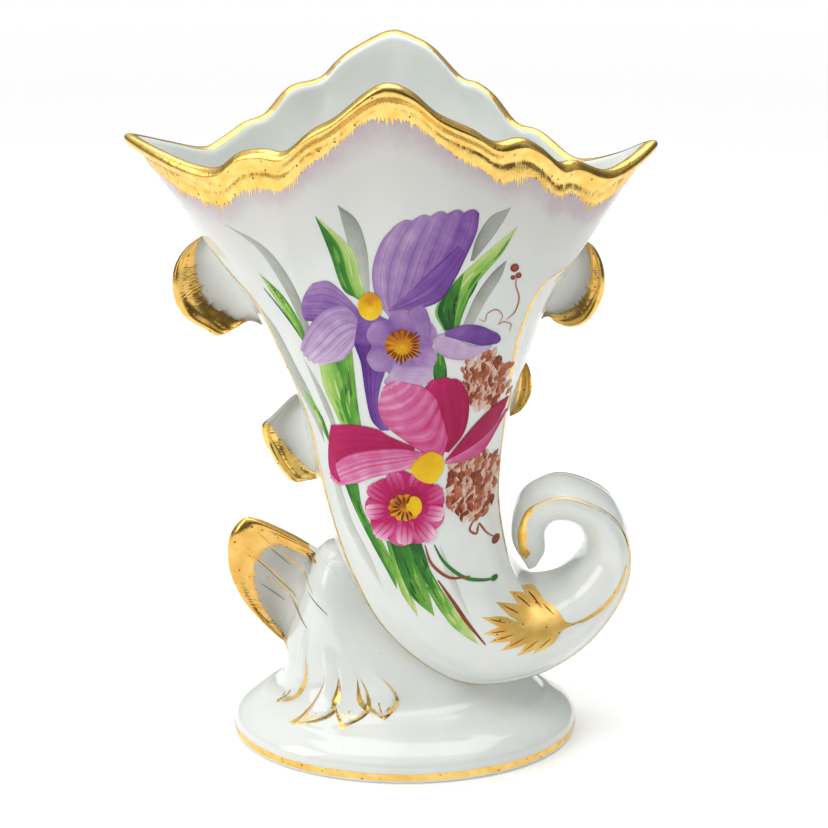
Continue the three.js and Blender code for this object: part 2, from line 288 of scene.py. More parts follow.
def rim_rise(turn):
    """How high the rim stands above the bend."""
    along = powered(math.cos(turn), mouth_squareness)
    rim = value_at(front_rim if math.sin(turn) < 0 else back_rim, along)
    return tip_rise + (peak_rise - tip_rise) * rim


def mouth_point(opened, turn, grow=0.0):
    """opened runs from 0, at the top section, to 1, at the rim."""
    if grow > -wall / 2:
        fade = min(1.0, max(0.0, (0.6 - opened) / 0.3))
        grow = grow + crest(-opened, turn) * fade
    squareness = body_squareness + (mouth_squareness - body_squareness) * opened
    along = powered(math.cos(turn), squareness)
    aside = powered(math.sin(turn), squareness)
    middle, _, half_width, half_depth = section_at(0)
    wide = half_width + (mouth_half_width - half_width) * max(0.0, opened) ** flare_wide
    deep = half_depth + (mouth_half_depth - half_depth) * max(0.0, opened) ** flare_deep
    rise = flare_rise + (rim_rise(turn) - flare_rise) * opened
    return Vector((middle.x * (1 - opened) + along * (wide + grow),
                   aside * (deep + grow), bend_height + rise))


def horn_point(run, turn, grow=0.0):
    """Below 0 the run is the opened share of the mouth; from 0 it counts the sections."""
    return mouth_point(-run, turn, grow) if run < 0 else body_point(run, turn, grow)


def opened_at(drop, turn):
    """How far the mouth has opened at a drop below the rim."""
    return 1 - drop / (rim_rise(turn) - flare_rise)


def drop_point(drop, turn, grow=0.0):
    return mouth_point(opened_at(drop, turn), turn, grow)


print("left end of the mouth", [round(c / mm, 1) for c in drop_point(0, math.pi)])

# %% [markdown]
# ## The rolled lip
# The edge of a cast mouth would chip, so the caster leaves it thick and round, with a shallow
# crease under the roll. A bevel would give an even edge. Here the wall grows by a smooth step
# and a half circle closes it, so that the roll follows every scallop.

# %% The rolled lip
lip_out = 1.6 * mm
lip_radius = (wall + lip_out) / 2
lip_height = 5.4 * mm
lip_crease = 0.3 * mm


def lip_grow(drop):
    """How far the outside stands out at a drop below the rim: a roll with a crease under it."""
    if drop < lip_radius:
        return lip_out
    if drop < lip_height:
        share = (drop - lip_radius) / (lip_height - lip_radius)
        return lip_out - (lip_out + lip_crease) * share * share * (3 - 2 * share)
    return -lip_crease * math.exp(-((drop - lip_height) / (1.2 * mm)) ** 2)


def over_lip(angle, turn, lift=0.0):
    """The half round top of the lip: angle 0 is outside, pi is inside."""
    middle = (lip_out - wall) / 2
    radius = lip_radius + lift
    return drop_point(lip_radius - radius * math.sin(angle), turn,
                      middle + radius * math.cos(angle))


print("lip", round(2 * lip_radius / mm, 2), "mm thick")


# %% Helper: a skin from rows
def evenly(start, end, steps):
    return [start + (end - start) * i / steps for i in range(steps + 1)]


def middle_row(point, place):
    """A row that has shrunk to the middle of its section, which closes an end."""
    return lambda turn: (point(place, 0.0) + point(place, math.pi)) / 2


def skin_of(name, columns, rows, row_notes=()):
    """A closed skin. Each row is a function from the turn round the piece to a point, and
    row_notes gives an attribute its value on every row."""
    last = len(rows) - 1
    notes = {attribute: lambda u, v, values=values: values[round(v * last)]
             for attribute, values in dict(row_notes).items()}
    return wrapped_grid(name, columns, last, lambda u, v: rows[round(v * last)](
        2 * math.pi * (u % 1.0)), notes=notes)


def ground_of(*pieces):
    """A net of these pieces' faces, which tells where a ray or the nearest point lands."""
    corners, faces = [], []
    for piece in pieces:
        start = len(corners)
        corners += [corner.co.copy() for corner in piece.data.vertices]
        faces += [[start + i for i in face.vertices] for face in piece.data.polygons]
    return BVHTree.FromPolygons(corners, faces)


print("ten even steps", [round(step, 1) for step in evenly(0, 1, 10)])

# %% [markdown]
# ## The horn's wall
# The wall is one closed skin, as slip leaves it: up the outside, over the lip, down the inside and
# shut at the end of the hollow. Solidify would give an even wall, but the lip is thicker than the
# rest, so the rows of the inside are drawn as well. Each row also carries how far below the rim
# it lies, which the glaze uses later.

# %% Rows of the horn: outside up, over the lip, inside down
far_below = 60 * mm
upright_part = 12 * mm


def lower_outside(share, turn):
    """From the top section, 0, to the upright part below the rim, 1."""
    return mouth_point(share * opened_at(upright_part, turn), turn)


def upper_outside(drop, turn):
    return drop_point(drop, turn, lip_grow(drop))


def mouth_inside(share, turn):
    return mouth_point(share * opened_at(lip_radius, turn), turn, -wall)


def body_inside(run, turn):
    return body_point(run, turn, -wall)


def horn_rows():
    """The rows of the skin and, for each, how far below the rim it lies outside."""
    def rows_of(place, values, below):
        return [(functools.partial(place, value), below(value)) for value in values]

    def hidden(_):
        return far_below

    return [
        (middle_row(horn_point, last_section), far_below),
        *rows_of(body_point, evenly(last_section, 0, 140), hidden),
        *rows_of(lower_outside, evenly(0.03, 1, 34),
                 lambda share: upright_part + (1 - share) * 50 * mm),
        *rows_of(upper_outside, evenly(upright_part - 0.4 * mm, lip_radius, 24),
                 lambda drop: drop),
        *rows_of(over_lip, evenly(0.25, math.pi, 10),
                 lambda angle: 0.0 if angle < 2.2 else far_below),
        *rows_of(mouth_inside, evenly(0.96, 0.03, 26), hidden),
        *rows_of(body_inside, evenly(0, hollow_end, 44), hidden),
        (middle_row(horn_point, hollow_end), far_below),
    ]


rows_of_horn = horn_rows()
print("rows of the horn", len(rows_of_horn))

# %% The horn's skin
horn_columns = 320
horn_skin = skin_of("horn_skin", horn_columns, [row for row, _ in rows_of_horn],
                    {"below_rim": [below / mm for _, below in rows_of_horn]})
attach(horn_skin, "root")
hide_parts("horn_vessel", "tail_scroll")
horn_ground = ground_of(horn_skin)
print("horn faces", len(horn_skin.data.polygons))

# %% [markdown]
# ## The foot and neck
# The foot is one soft swelling: an upright edge, a domed top, a cove, and a neck that climbs the
# left side of the horn as a leafy buttress. A spin would make a round foot, and this one is oval
# and leans: each level has its own left edge, right edge and depth.

# %% Levels of the foot and neck
# Each level: z, left edge, right edge, half of the depth, all in mm.
foot_levels = [
    (5.5, -20, 26, 16), (5.5, -33, 39.5, 26), (3.9, -37, 43.6, 28.6), (0, -38.5, 45.1, 29.6),
    (0, -42.3, 48.9, 33.3), (0.9, -43.3, 49.9, 34.3), (2.6, -43.5, 50.1, 34.5),
    (5, -43.2, 49.8, 34.2), (6.8, -41.8, 48.4, 33), (8.6, -39.3, 45.9, 30.9),
    (10.1, -36.5, 43.6, 28.6), (11, -34, 41.6, 26.2), (12.6, -31.5, 40, 23.2),
    (15, -30, 38, 20.2), (20, -28.9, 34, 17.6), (27, -29, 24, 15.4), (36, -26, 6, 13),
    (46, -22.8, -2, 10.8), (51.5, -20.4, -4, 8.4), (53.6, -18.4, -6, 5),
]
last_level = len(foot_levels) - 1
dome_level = 9
neck_narrowing = 0.22
print("foot levels", len(foot_levels))

# %% [markdown]
# ## The skirt of tongues
# Acanthus tongues hang over the dome of the real foot. They are low and melt into the glaze, so a
# separate slab for each would show a hard edge. Each only raises the foot's surface inside its
# outline, and fades out behind its base.

# %% Tongues
# Each tongue: turn of the tip in degrees, level of the tip, level of the base,
# half width, and how many degrees the base lies further on. The same four lie on the back.
tongues = [(199, 11.6, 14.9, 2.8 * mm, 16), (221.5, 10.5, 14.4, 2.9 * mm, 14),
           (243, 11.6, 14.4, 3.9 * mm, 3), (259.5, 12.5, 14.4, 3.9 * mm, -3)]
tongue_height = 1.5 * mm
skirt_radius = 26 * mm


def tongue_half_width(share):
    """Half width of a tongue from its tip, 0, to its base, 1, as a share of its widest."""
    return value_at([(0, 0), (0.15, 0.34), (0.35, 0.74), (0.58, 1), (0.8, 0.92), (1, 0.7)], share)


def tongue_rise(level, turn):
    """How far the skirt of tongues stands out at a place on the foot."""
    best = 0.0
    degrees = math.degrees(turn) % 360
    for middle, tip, base, half_width, slant in tongues:
        share = (level - tip) / (base - tip)
        if not 0 < share < 1.25:
            continue
        centre = middle + slant * share
        for mirrored in (centre, 360 - centre):
            aside = abs(math.radians(degrees - mirrored)) * skirt_radius / half_width
            room = tongue_half_width(min(1.0, share)) + 0.05 - aside
            if room > 0:
                edge = min(1.0, room / 0.3)
                fade = min(1.0, max(0.0, (1.25 - share) / 0.6))
                best = max(best, edge ** 0.6 * fade * (0.75 + 0.25 * min(1.0, share * 3)))
    return best * tongue_height


print("tongues", 2 * len(tongues))


# %% The skin of the foot and neck
@functools.cache
def level_at(level):
    """Height, middle, half width and half depth at a level."""
    z, left, right, half_depth = (value * mm for value in along_points(foot_levels, level))
    return max(0.0, z), (left + right) / 2, (right - left) / 2, half_depth


def foot_point(level, turn, grow=0.0):
    """The sections narrow to the right on the way up from the dome."""
    z, middle, half_width, half_depth = level_at(level)
    narrow = neck_narrowing * min(1.0, max(0.0, (level - dome_level) / 4))
    along = math.cos(turn)
    out = grow + (tongue_rise(level, turn) if level > dome_level else 0.0)
    return Vector((middle + along * (half_width + out),
                   math.sin(turn) * (half_depth * (1 - narrow * along) + out), z))


foot_rows = [middle_row(foot_point, 0)]
foot_rows += [functools.partial(foot_point, level) for level in evenly(0, 9.5, 60)]
foot_rows += [functools.partial(foot_point, level) for level in evenly(9.55, last_level, 120)]
foot_rows += [middle_row(foot_point, last_level)]
foot_skin = skin_of("foot_skin", 400, foot_rows)
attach(foot_skin, "root")
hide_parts("foot_plinth", "support_neck", *(
    f"foot_acanthus_lobe_{i}" for i in (1, 2, 3, 4)))
foot_ground = ground_of(foot_skin)
print("foot faces", len(foot_skin.data.polygons))

# %% [markdown]
# ## Five leaves
# On the real piece each leaf is pressed in its own small mould and stuck on with slip: an ear with
# a thick rolled rim, a dished middle and a root that runs into the horn. Its outline is a curve
# from the upper end of the root round to the lower end, and every point between the root and the
# outline gets half a thickness, so one formula gives the front, the rim and the back. Sculpting
# would do as well, but the gold could not follow it.

# %% Leaf shapes
# Root and outline as (x, z) in mm. Both start and end at the same two points, in the horn's wall.
leaf_shapes = {
    "leaf_upper_left": (
        [(-47.2, 139.5), (-42.8, 133), (-38.4, 126.5), (-34.2, 120), (-31.2, 114)],
        [(-47.2, 139.5), (-52.2, 136), (-55, 132), (-56.1, 127.3), (-55.6, 122), (-53, 117.4),
         (-48.5, 114.6), (-45, 112.6), (-41.5, 114.2), (-37, 116.8), (-31.2, 114)]),
    "leaf_upper_right": (
        [(48.6, 138), (45.5, 132), (42.2, 126.5), (39.2, 121), (36.8, 115.5)],
        [(48.6, 138), (51.8, 136), (54, 131.6), (54.7, 126.6), (53.7, 121.6), (50.8, 116.8),
         (46.7, 115), (43, 116), (40.4, 118), (36.8, 115.5)]),
    "leaf_middle_left": (
        [(-23.5, 97), (-22, 88), (-20, 80), (-18.8, 73)],
        [(-23.5, 97), (-27, 95), (-31.4, 90.6), (-34, 88), (-33.7, 84.2), (-32, 80.4),
         (-29.6, 76), (-26.3, 72.4), (-22.8, 72.6), (-18.8, 73)]),
    "leaf_middle_right": (
        [(33.2, 107), (32.2, 103), (31.2, 98), (30.7, 94), (30.6, 90)],
        [(33.2, 107), (35.6, 104), (36.5, 100), (36.1, 96), (34.2, 92.8), (30.6, 90)]),
    "leaf_lower_left": (
        [(-13.5, 47), (-14.5, 42), (-17, 35), (-21.5, 29), (-27, 23.5)],
        [(-13.5, 47), (-16.6, 51.4), (-21, 53.4), (-28.4, 57.9), (-37.2, 62), (-41, 60.4),
         (-43.6, 55.4), (-43.7, 47), (-41, 39.4), (-36.5, 33), (-31.4, 27.6), (-27, 23.5)]),
}
largest_leaf = "leaf_lower_left"

# Half thickness in mm from the rim, 0, to the root, 1: a roll, a groove behind it and a dish.
leaf_thickness = [(0, 0), (0.015, 0.7), (0.05, 1.4), (0.11, 1.7), (0.19, 1.25), (0.27, 1.35),
                  (0.42, 0.9), (0.62, 0.8), (0.82, 1.3), (1, 2.4)]
fillet = 5 * mm
sink = 0.4 * mm
leaf_curl = 1.5 * mm
print("leaves to press", sorted(leaf_shapes))

# %% [markdown]
# ## Where the largest leaf meets the buttress
# Slip fills the corner between two pieces and is smoothed with a wet brush, so the joint shows as
# a soft hollow. A boolean and a bevel would leave a seam. Here the leaf's thickness is compared
# with the buttress beside it, and swells towards it in a fillet.

# %% Where the largest leaf meets the buttress
buttress_levels = evenly(12, last_level, 160)
buttress_heights = [level_at(level)[0] for level in buttress_levels]


def buttress_depth(x, z):
    """How far the front of the buttress lies before the middle plane; below 0 outside it."""
    above = min(max(1, bisect.bisect_left(buttress_heights, z)), len(buttress_levels) - 1)
    low, high = buttress_heights[above - 1], buttress_heights[above]
    share = min(1.0, max(0.0, (z - low) / (high - low)))
    level = buttress_levels[above - 1] + (buttress_levels[1] - buttress_levels[0]) * share
    _, middle, half_width, half_depth = level_at(level)
    along = (x - middle) / half_width
    if abs(along) > 1:
        return -4 * (abs(along) - 1) * half_depth
    return half_depth * (1 - neck_narrowing * along) * math.sqrt(1 - along * along)


def filleted(leaf_half, x, z):
    """The leaf flows into the buttress through a hollow fillet, then dips just under it."""
    beside = buttress_depth(x, z)
    apart = beside - leaf_half
    near = max(0.0, 1 - abs(apart) / fillet)
    dip = sink * min(1.0, max(0.0, apart / fillet))
    return max(leaf_half, beside) + fillet / 4 * near ** 2 - dip


print("buttress from", round(buttress_heights[0] / mm, 1), "to",
      round(buttress_heights[-1] / mm, 1), "mm")


# %% The leaf's surface as a formula
def leaf_surface(name):
    """Gives surface(v, w, lift): v along the leaf, w from the front root, -1, to the back, 1."""
    root, outline = leaf_shapes[name]
    largest = name == largest_leaf
    lobes = 4.5 if largest else 3.5

    def surface(v, w, lift=0.0):
        v = min(1.0, max(0.0, v))
        from_rim = min(1.0, abs(w))
        inner = along_points([(x * mm, z * mm) for x, z in root], v * (len(root) - 1))
        outer = along_points([(x * mm, z * mm) for x, z in outline], v * (len(outline) - 1))
        outwards = (outer - inner).normalized() if v not in (0.0, 1.0) else Vector((0, 0))
        spot = outer + (inner - outer) * from_rim
        spot = spot + outwards * lift * max(0.0, 1 - from_rim / 0.1)
        taper = min(1.0, 7 * v * (1 - v)) ** 0.6
        lobe = 1 + 0.16 * math.sin(2 * math.pi * lobes * v + 0.6) * math.exp(-from_rim * 2.5)
        half = value_at(leaf_thickness, from_rim) * mm * lobe * taper
        if largest and from_rim > 0.12:
            half = filleted(half, spot.x, spot.y)
        bend = -leaf_curl * taper * (1 - min(1.0, from_rim / 0.6)) ** 1.5
        return Vector((spot.x, bend + math.copysign(half + lift * min(1.0, half / mm), w),
                       spot.y))
    return surface


def eased_rows(reach, steps):
    """Rows from -reach over the rim at 0 to reach, closest where the rim turns."""
    return [math.copysign((i / steps) ** 2, i) * reach for i in range(-steps, steps + 1)]


upper_leaf = leaf_surface("leaf_upper_left")
print("roll", round((upper_leaf(0.5, 0.11) - upper_leaf(0.5, -0.11)).y / mm, 1), "mm thick")


# %% The leaves' skins
def painted_shade(name, along, from_rim):
    """How much painted shade greys the hollow dish of a leaf; the largest leaf has the most."""
    strength = 0.62
    if name == largest_leaf:
        strength = 0.75 * min(1.0, max(0.0, (along - 0.22) / 0.08))
    return strength * min(1.0, max(0.0, (0.95 - from_rim) / 0.5))


leaf_columns = 120
leaf_skins = {}
around = eased_rows(1.0, 22)
around.append(around[0])
last = len(around) - 1
for name in leaf_shapes:
    surface = leaf_surface(name)
    leaf = wrapped_grid(f"{name}_skin", leaf_columns, last,
                        lambda u, v: surface(u, around[round(v * last)]),
                        notes={"shade": lambda u, v: painted_shade(
                            name, u, abs(around[round(v * last)]))})
    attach(leaf, "root")
    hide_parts(name)
    leaf_skins[name] = leaf
print("leaf faces", [len(leaf.data.polygons) for leaf in leaf_skins.values()])

# %% [markdown]
# ## Gold
# Bright gold is brushed over the fired glaze and fired again, so it has no thickness to speak of.
# It could be masked off in the glaze's own material, but its ragged brushed edge is finer than the
# glaze's net of faces. So each patch of gold is a skin laid a hair's breadth over the glaze, whose
# outline is the edge of the stroke.

# %% Helper: a brush stroke along a surface
gold_lift = 0.05 * mm


def stroke(name, surface, path, half_width, steps):
    """A ribbon on a surface. surface(a, b, lift) gives a point, path(t) its middle as (a, b)."""
    tiny = 1e-4
    lift = gold_lift

    def place(u, v):
        a, b = path(v)
        a0, b0 = path(max(0.0, v - tiny))
        a1, b1 = path(min(1.0, v + tiny))
        here = surface(a, b, lift)
        ahead = (surface(a1, b1, lift) - surface(a0, b0, lift)).normalized()
        by_a = (surface(a + tiny, b, lift) - surface(a - tiny, b, lift)) / (2 * tiny)
        by_b = (surface(a, b + tiny, lift) - surface(a, b - tiny, lift)) / (2 * tiny)
        normal = by_a.cross(by_b).normalized()
        side = ahead.cross(normal).normalized() * half_width(v) * (2 * u - 1)
        aa, ab, bb = by_a.dot(by_a), by_a.dot(by_b), by_b.dot(by_b)
        sa, sb = side.dot(by_a), side.dot(by_b)
        bottom = aa * bb - ab * ab
        if abs(bottom) < 1e-18:
            return here + side
        return surface(a + (sa * bb - sb * ab) / bottom, b + (sb * aa - sa * ab) / bottom, lift)

    return wrapped_grid(name, 2, steps, place, closed=False)


def face_out(sheet, ground):
    """Turns a sheet over if it faces into the glaze below it."""
    middle = sheet.data.polygons[len(sheet.data.polygons) // 2]
    _, outwards, _, _ = ground.find_nearest(middle.center)
    if middle.normal.dot(outwards) < 0:
        sheet.data.flip_normals()


def joined(pieces, name):
    """One piece from many, with its own mesh."""
    bpy.ops.object.select_all(action="DESELECT")
    for piece in pieces:
        piece.select_set(True)
    bpy.context.view_layer.objects.active = pieces[0]
    bpy.ops.object.join()
    piece = bpy.context.object
    piece.name = piece.data.name = name
    return piece


print("gold lies", gold_lift / mm, "mm over the glaze")

# %% [markdown]
# ## The gold band round the mouth
# The painter loads a wide brush, lays it on the lip and drags it down, so the band is smooth on
# the lip and ends below in a fringe of strokes. A band of even width with a noisy edge would look
# printed. Here the net has a column for every hair of the brush, and every other one is a spike.

# %% Even steps along the rim
fine = 4000


def even_turns(count):
    """Turns that lie evenly along the rim."""
    turns = [2 * math.pi * i / fine for i in range(fine + 1)]
    points = [drop_point(0.0, turn) for turn in turns]
    lengths = [0.0]
    for before, after in zip(points, points[1:]):
        lengths.append(lengths[-1] + (after - before).length)
    found, i = [], 0
    for k in range(count + 1):
        wanted = lengths[-1] * k / count
        while i < fine - 1 and lengths[i + 1] < wanted:
            i += 1
        step = (wanted - lengths[i]) / (lengths[i + 1] - lengths[i])
        found.append(turns[i] + (turns[i + 1] - turns[i]) * step)
    return found


def on_column(turn, place):
    """A point between two columns of the horn's skin, so that gold lies on its flat faces."""
    column = turn / (2 * math.pi) * horn_columns
    low = math.floor(column)
    left = place(2 * math.pi * (low % horn_columns) / horn_columns)
    right = place(2 * math.pi * ((low + 1) % horn_columns) / horn_columns)
    return left + (right - left) * (column - low)


tooth_columns = 900
rim_turns = even_turns(tooth_columns)
print("steps along the rim", len(rim_turns))

# %% The brushed edge of the band
random.seed(7)
band_height = 8.8 * mm
rim_lift = 0.08 * mm


def ragged_edge(count, shortest, longest):
    """The brushed edge: every other column is a spike, and some stand in longer bunches."""
    teeth = []
    for k in range(count):
        bunch = 0.5 + 0.5 * math.sin(k * 0.21) * math.sin(k * 0.053 + 1)
        spike = random.uniform(0.15, 1) ** 1.6 * (longest * (0.35 + 0.65 * bunch))
        teeth.append(spike if k % 2 else random.uniform(-shortest, 0.2 * shortest))
    return teeth + teeth[:1]


rim_teeth = ragged_edge(tooth_columns, 0.5 * mm, 3.4 * mm)


def band_drop(k):
    """How far below the rim the band ends at a step along it."""
    turn = rim_turns[k]
    wave = 0.9 * math.sin(5 * turn + 0.6) + 0.5 * math.sin(11 * turn)
    return band_height + wave * mm + rim_teeth[k]


print("band from", round(min(map(band_drop, range(tooth_columns))) / mm, 1), "to",
      round(max(map(band_drop, range(tooth_columns))) / mm, 1), "mm deep")

# %% The band's skin
inside_angle = 0.74 * math.pi


def rim_gold_rows():
    """From a little way inside the mouth, over the lip and down to the fringe."""
    def over(angle, k):
        return on_column(rim_turns[k], lambda turn: over_lip(angle, turn, rim_lift))

    def outside(share, k):
        drop = lip_radius + (band_drop(k) - lip_radius) * share
        return on_column(rim_turns[k],
                         lambda turn: drop_point(drop, turn, lip_grow(drop) + rim_lift))

    rows = [functools.partial(over, angle) for angle in evenly(inside_angle, 0.1, 8)]
    return rows + [functools.partial(outside, share) for share in evenly(0, 1, 20)]


rim_rows = rim_gold_rows()
last_rim_row = len(rim_rows) - 1
rim_gold = wrapped_grid(
    "rim_gold", tooth_columns, last_rim_row,
    lambda u, v: rim_rows[round(v * last_rim_row)](round(u * tooth_columns)), closed=False)
face_out(rim_gold, horn_ground)
print("rim gold faces", len(rim_gold.data.polygons))

# %% [markdown]
# ## Gold lines along the ridges
# A thin brush follows each ridge from the mouth down and round, and the outer line ends in a blob
# at the tip of the scroll. A curve with a bevel would be a wire on the glaze. A ribbon that is
# measured along the glaze lies flat on it, and its width can swing as the hand does.

# %% Gold lines along the ridges
ridge_start = -0.42
outer_ridge_end = 13.5
inner_ridge_end = 3.3


def uneven(base, swing, beat):
    """A brush's half width, which swings a little along the line."""
    return lambda t: base * (1 + swing * math.sin(beat * t) * math.sin(2.3 * beat * t + 1)) * min(
        1.0, 0.25 + 12 * t, 0.25 + 12 * (1 - t))


def outer_line(side):
    """side is -1 on the front and 1 on the back."""
    def path(t):
        run = ridge_start + (outer_ridge_end - ridge_start) * t
        return run, math.pi - side * math.radians(value_at(outer_ridge, run))
    return path


def inner_line(side):
    def path(t):
        run = ridge_start + (inner_ridge_end - ridge_start) * t
        return run, side * math.radians(value_at(inner_ridge, run))
    return path


def scroll_line_width(t):
    """Thin on the horn, broader round the scroll, with a loaded brush's blob at the tip."""
    swell = value_at([(0, 0.2), (0.05, 0.34), (0.4, 0.42), (0.6, 0.5), (0.86, 0.62), (0.91, 1.0),
                      (0.95, 1.4), (0.985, 1.2), (1, 0.2)], t)
    return swell * mm * (1 + 0.2 * math.sin(90 * t) * math.sin(41 * t))


ridge_lines = []
for side, word in ((-1, "front"), (1, "back")):
    ridge_lines.append(stroke(f"outer_line_{word}", horn_point, outer_line(side),
                              scroll_line_width, 620))
    ridge_lines.append(stroke(f"inner_line_{word}", horn_point, inner_line(side),
                              uneven(0.4 * mm, 0.3, 60), 260))
for line in ridge_lines:
    face_out(line, horn_ground)
ridge_gold = joined(ridge_lines, "ridge_gold")
print("ridge gold faces", len(ridge_gold.data.polygons))

# %% [markdown]
# ## The gold band round the foot
# The painter runs a steady brush round the edge of the foot, so this band is narrow and nearly
# even. It could be cut out of the foot's own skin, but a sheet between two of the foot's levels
# is quicker, and its upper edge can waver.

# %% The gold band round the foot
foot_band_low = 5.1
foot_band_high = 6.2


def foot_band(u, v):
    turn = 2 * math.pi * (u % 1.0)
    ragged = 0.25 * math.sin(9 * turn) + 0.2 * math.sin(23 * turn + 2)
    level = foot_band_low + (foot_band_high + 0.1 * ragged - foot_band_low) * v
    return foot_point(level, turn, gold_lift)


foot_gold = wrapped_grid("foot_gold", 400, 8, foot_band, closed=False)
face_out(foot_gold, foot_ground)
print("foot gold faces", len(foot_gold.data.polygons))

# %% [markdown]
# ## Gold on the tongues
# Each tongue of the skirt is outlined from its base round the tip with a full brush, and has three
# short veins. The ribbon that served for the ridges does both, laid on the foot's formula.

# %% Gold outlines of the acanthus tongues
def tongue_spot(tongue, share, aside, side):
    """A place on a tongue: share from tip to base, aside from its middle in metres."""
    middle, tip, base, _, slant = tongue
    degrees = middle + slant * share + math.degrees(aside / skirt_radius)
    return tip + (base - tip) * share, math.radians(degrees if side < 0 else 360 - degrees)


def tongue_edge(tongue, side):
    """From the left end of the base, round the tip, to the right end."""
    def path(t):
        share = abs(2 * t - 1) ** 1.2
        aside = math.copysign(tongue_half_width(share) * tongue[3], t - 0.5)
        return tongue_spot(tongue, share, aside, side)
    return path


def tongue_vein(tongue, side, aside, start, end):
    """aside is a share of the tongue's half width; the veins spread towards the base."""
    def path(t):
        spread = aside * tongue[3] * (0.7 + 0.6 * t)
        return tongue_spot(tongue, start + (end - start) * t, spread, side)
    return path


def tongue_line_width(number):
    """The second tongue has the most loaded brush stroke."""
    full = 1.5 if number == 1 else 0.76
    return lambda t: (full + 0.5 * math.exp(-((t - 0.5) / 0.12) ** 2)) * mm * min(
        1.0, 5 * t, 5 * (1 - t))


# The furthest tongue is gilded on the front only: its twin's gold would show past the foot's side.
outlines = []
for number, tongue in enumerate(tongues):
    for side in (-1, 1) if number else (-1,):
        outlines.append(stroke(f"outline_{number}_{side + 1}", foot_point,
                               tongue_edge(tongue, side), tongue_line_width(number), 90))
        for vein, (aside, end) in enumerate(((-0.4, 0.42), (0, 0.5), (0.4, 0.4))):
            outlines.append(stroke(
                f"vein_{number}_{side + 1}_{vein}", foot_point,
                tongue_vein(tongue, side, aside, 0.14 + abs(aside) / 3, end),
                uneven(0.2 * mm, 0.4, 9), 16))
for line in outlines:
    face_out(line, foot_ground)
print("strokes on the tongues", len(outlines))
tongue_gold = joined(outlines, "tongue_gold")

# %% [markdown]
# ## Gold on the leaves
# The rolled rim of each leaf is gilded and brushed inwards, and the rest of the dish is left to
# the glaze. The gold is a second skin from the leaf's own formula, wrapped from the front over the
# rim to the back, with the same kind of fringe as the band round the mouth.

# %% Gold on the leaves
# How far the gold reaches from the rim, as a share of the way to the root, along each leaf.
gold_reach = {
    "leaf_upper_left": [(0, 0.3), (0.1, 0.38), (0.3, 0.42), (0.5, 0.4), (0.7, 0.46), (0.8, 0.5),
                        (0.86, 0.35), (0.89, 0.02)],
    "leaf_upper_right": [(0, 0.3), (0.15, 0.36), (0.4, 0.34), (0.7, 0.44), (0.82, 0.45),
                         (0.88, 0.3), (0.91, 0.02)],
    "leaf_middle_left": [(0.28, 0.02), (0.33, 0.2), (0.5, 0.36), (0.8, 0.6), (1, 0.75)],
    "leaf_middle_right": [(0.04, 0.3), (0.3, 0.6), (0.7, 0.6), (1, 0.5)],
    "leaf_lower_left": [(0.2, 0.02), (0.21, 0.26), (0.23, 0.42), (0.27, 0.45), (0.4, 0.31),
                        (0.7, 0.27), (0.9, 0.4), (1, 0.6)],
}
# Painted shade: how much each leaf's gold is darkened towards brown, as a dimmer reflection.
leaf_gold_shade = {"leaf_upper_left": 0.16, "leaf_upper_right": 0.16, "leaf_middle_left": 0.0,
              "leaf_middle_right": 0.0, "leaf_lower_left": 0.32}
leaf_gold_columns = 300
leaf_end = 0.012
across = eased_rows(1.0, 18)
leaf_golds = []
for name, reach in gold_reach.items():
    surface = leaf_surface(name)
    teeth = ragged_edge(leaf_gold_columns, 0.03, 0.14)

    def leaf_gold_point(u, v):
        along = max(leaf_end, reach[0][0]) * (1 - u) + min(1 - leaf_end, reach[-1][0]) * u
        far = value_at(reach, along)
        far = max(0.01, far + teeth[round(u * leaf_gold_columns)] * min(1.0, 3 * far))
        return surface(along, across[round(v * (len(across) - 1))] * min(0.97, far), gold_lift)

    # The note deep carries this painted shade to the gold's finish.
    sheet = wrapped_grid(f"{name}_gold", leaf_gold_columns, len(across) - 1, leaf_gold_point,
                         closed=False, notes={"deep": lambda u, v: leaf_gold_shade[name]})
    face_out(sheet, ground_of(leaf_skins[name]))
    leaf_golds.append(sheet)
leaf_gold = joined(leaf_golds, "leaf_gold")
print("leaf gold faces", len(leaf_gold.data.polygons))

# %% [markdown]
# ## The painted spray
# The flowers are overglaze enamel, put on petal by petal with a loaded brush. They could be a
# picture laid on the glaze, but then they would blur from near by. Each brushed shape is modelled
# as a thin sheet between two edges, which run from its base to its tip as curves through a few
# points. The sheet is dropped straight back onto the front of the horn, a hair above what was
# painted before it, and it carries a tone that its colour is later taken from.

# %% Helper: drop onto the glaze
paint_lift = 0.03 * mm
paint_step = 0.012 * mm
in_front = 200 * mm
front_depth = 10 * mm
sheets = {}


def dropped(ground, x, z, lift):
    """The point on the front of the piece behind (x, z), which are in mm."""
    hit, outwards, _, _ = ground.ray_cast(Vector((x * mm, -in_front, z * mm)),
                                          Vector((0, 1, 0)))
    if hit is None:
        hit, outwards, _, _ = ground.find_nearest(Vector((x * mm, -front_depth, z * mm)))
    return hit + outwards * lift


def kept(sheet, family, ground):
    """Files a painted sheet under its colour."""
    face_out(sheet, ground)
    sheets[family].append(sheet)
    return sheet


print("glaze in front of the axis", round(dropped(horn_ground, 0, 100, 0).y / mm, 1), "mm")


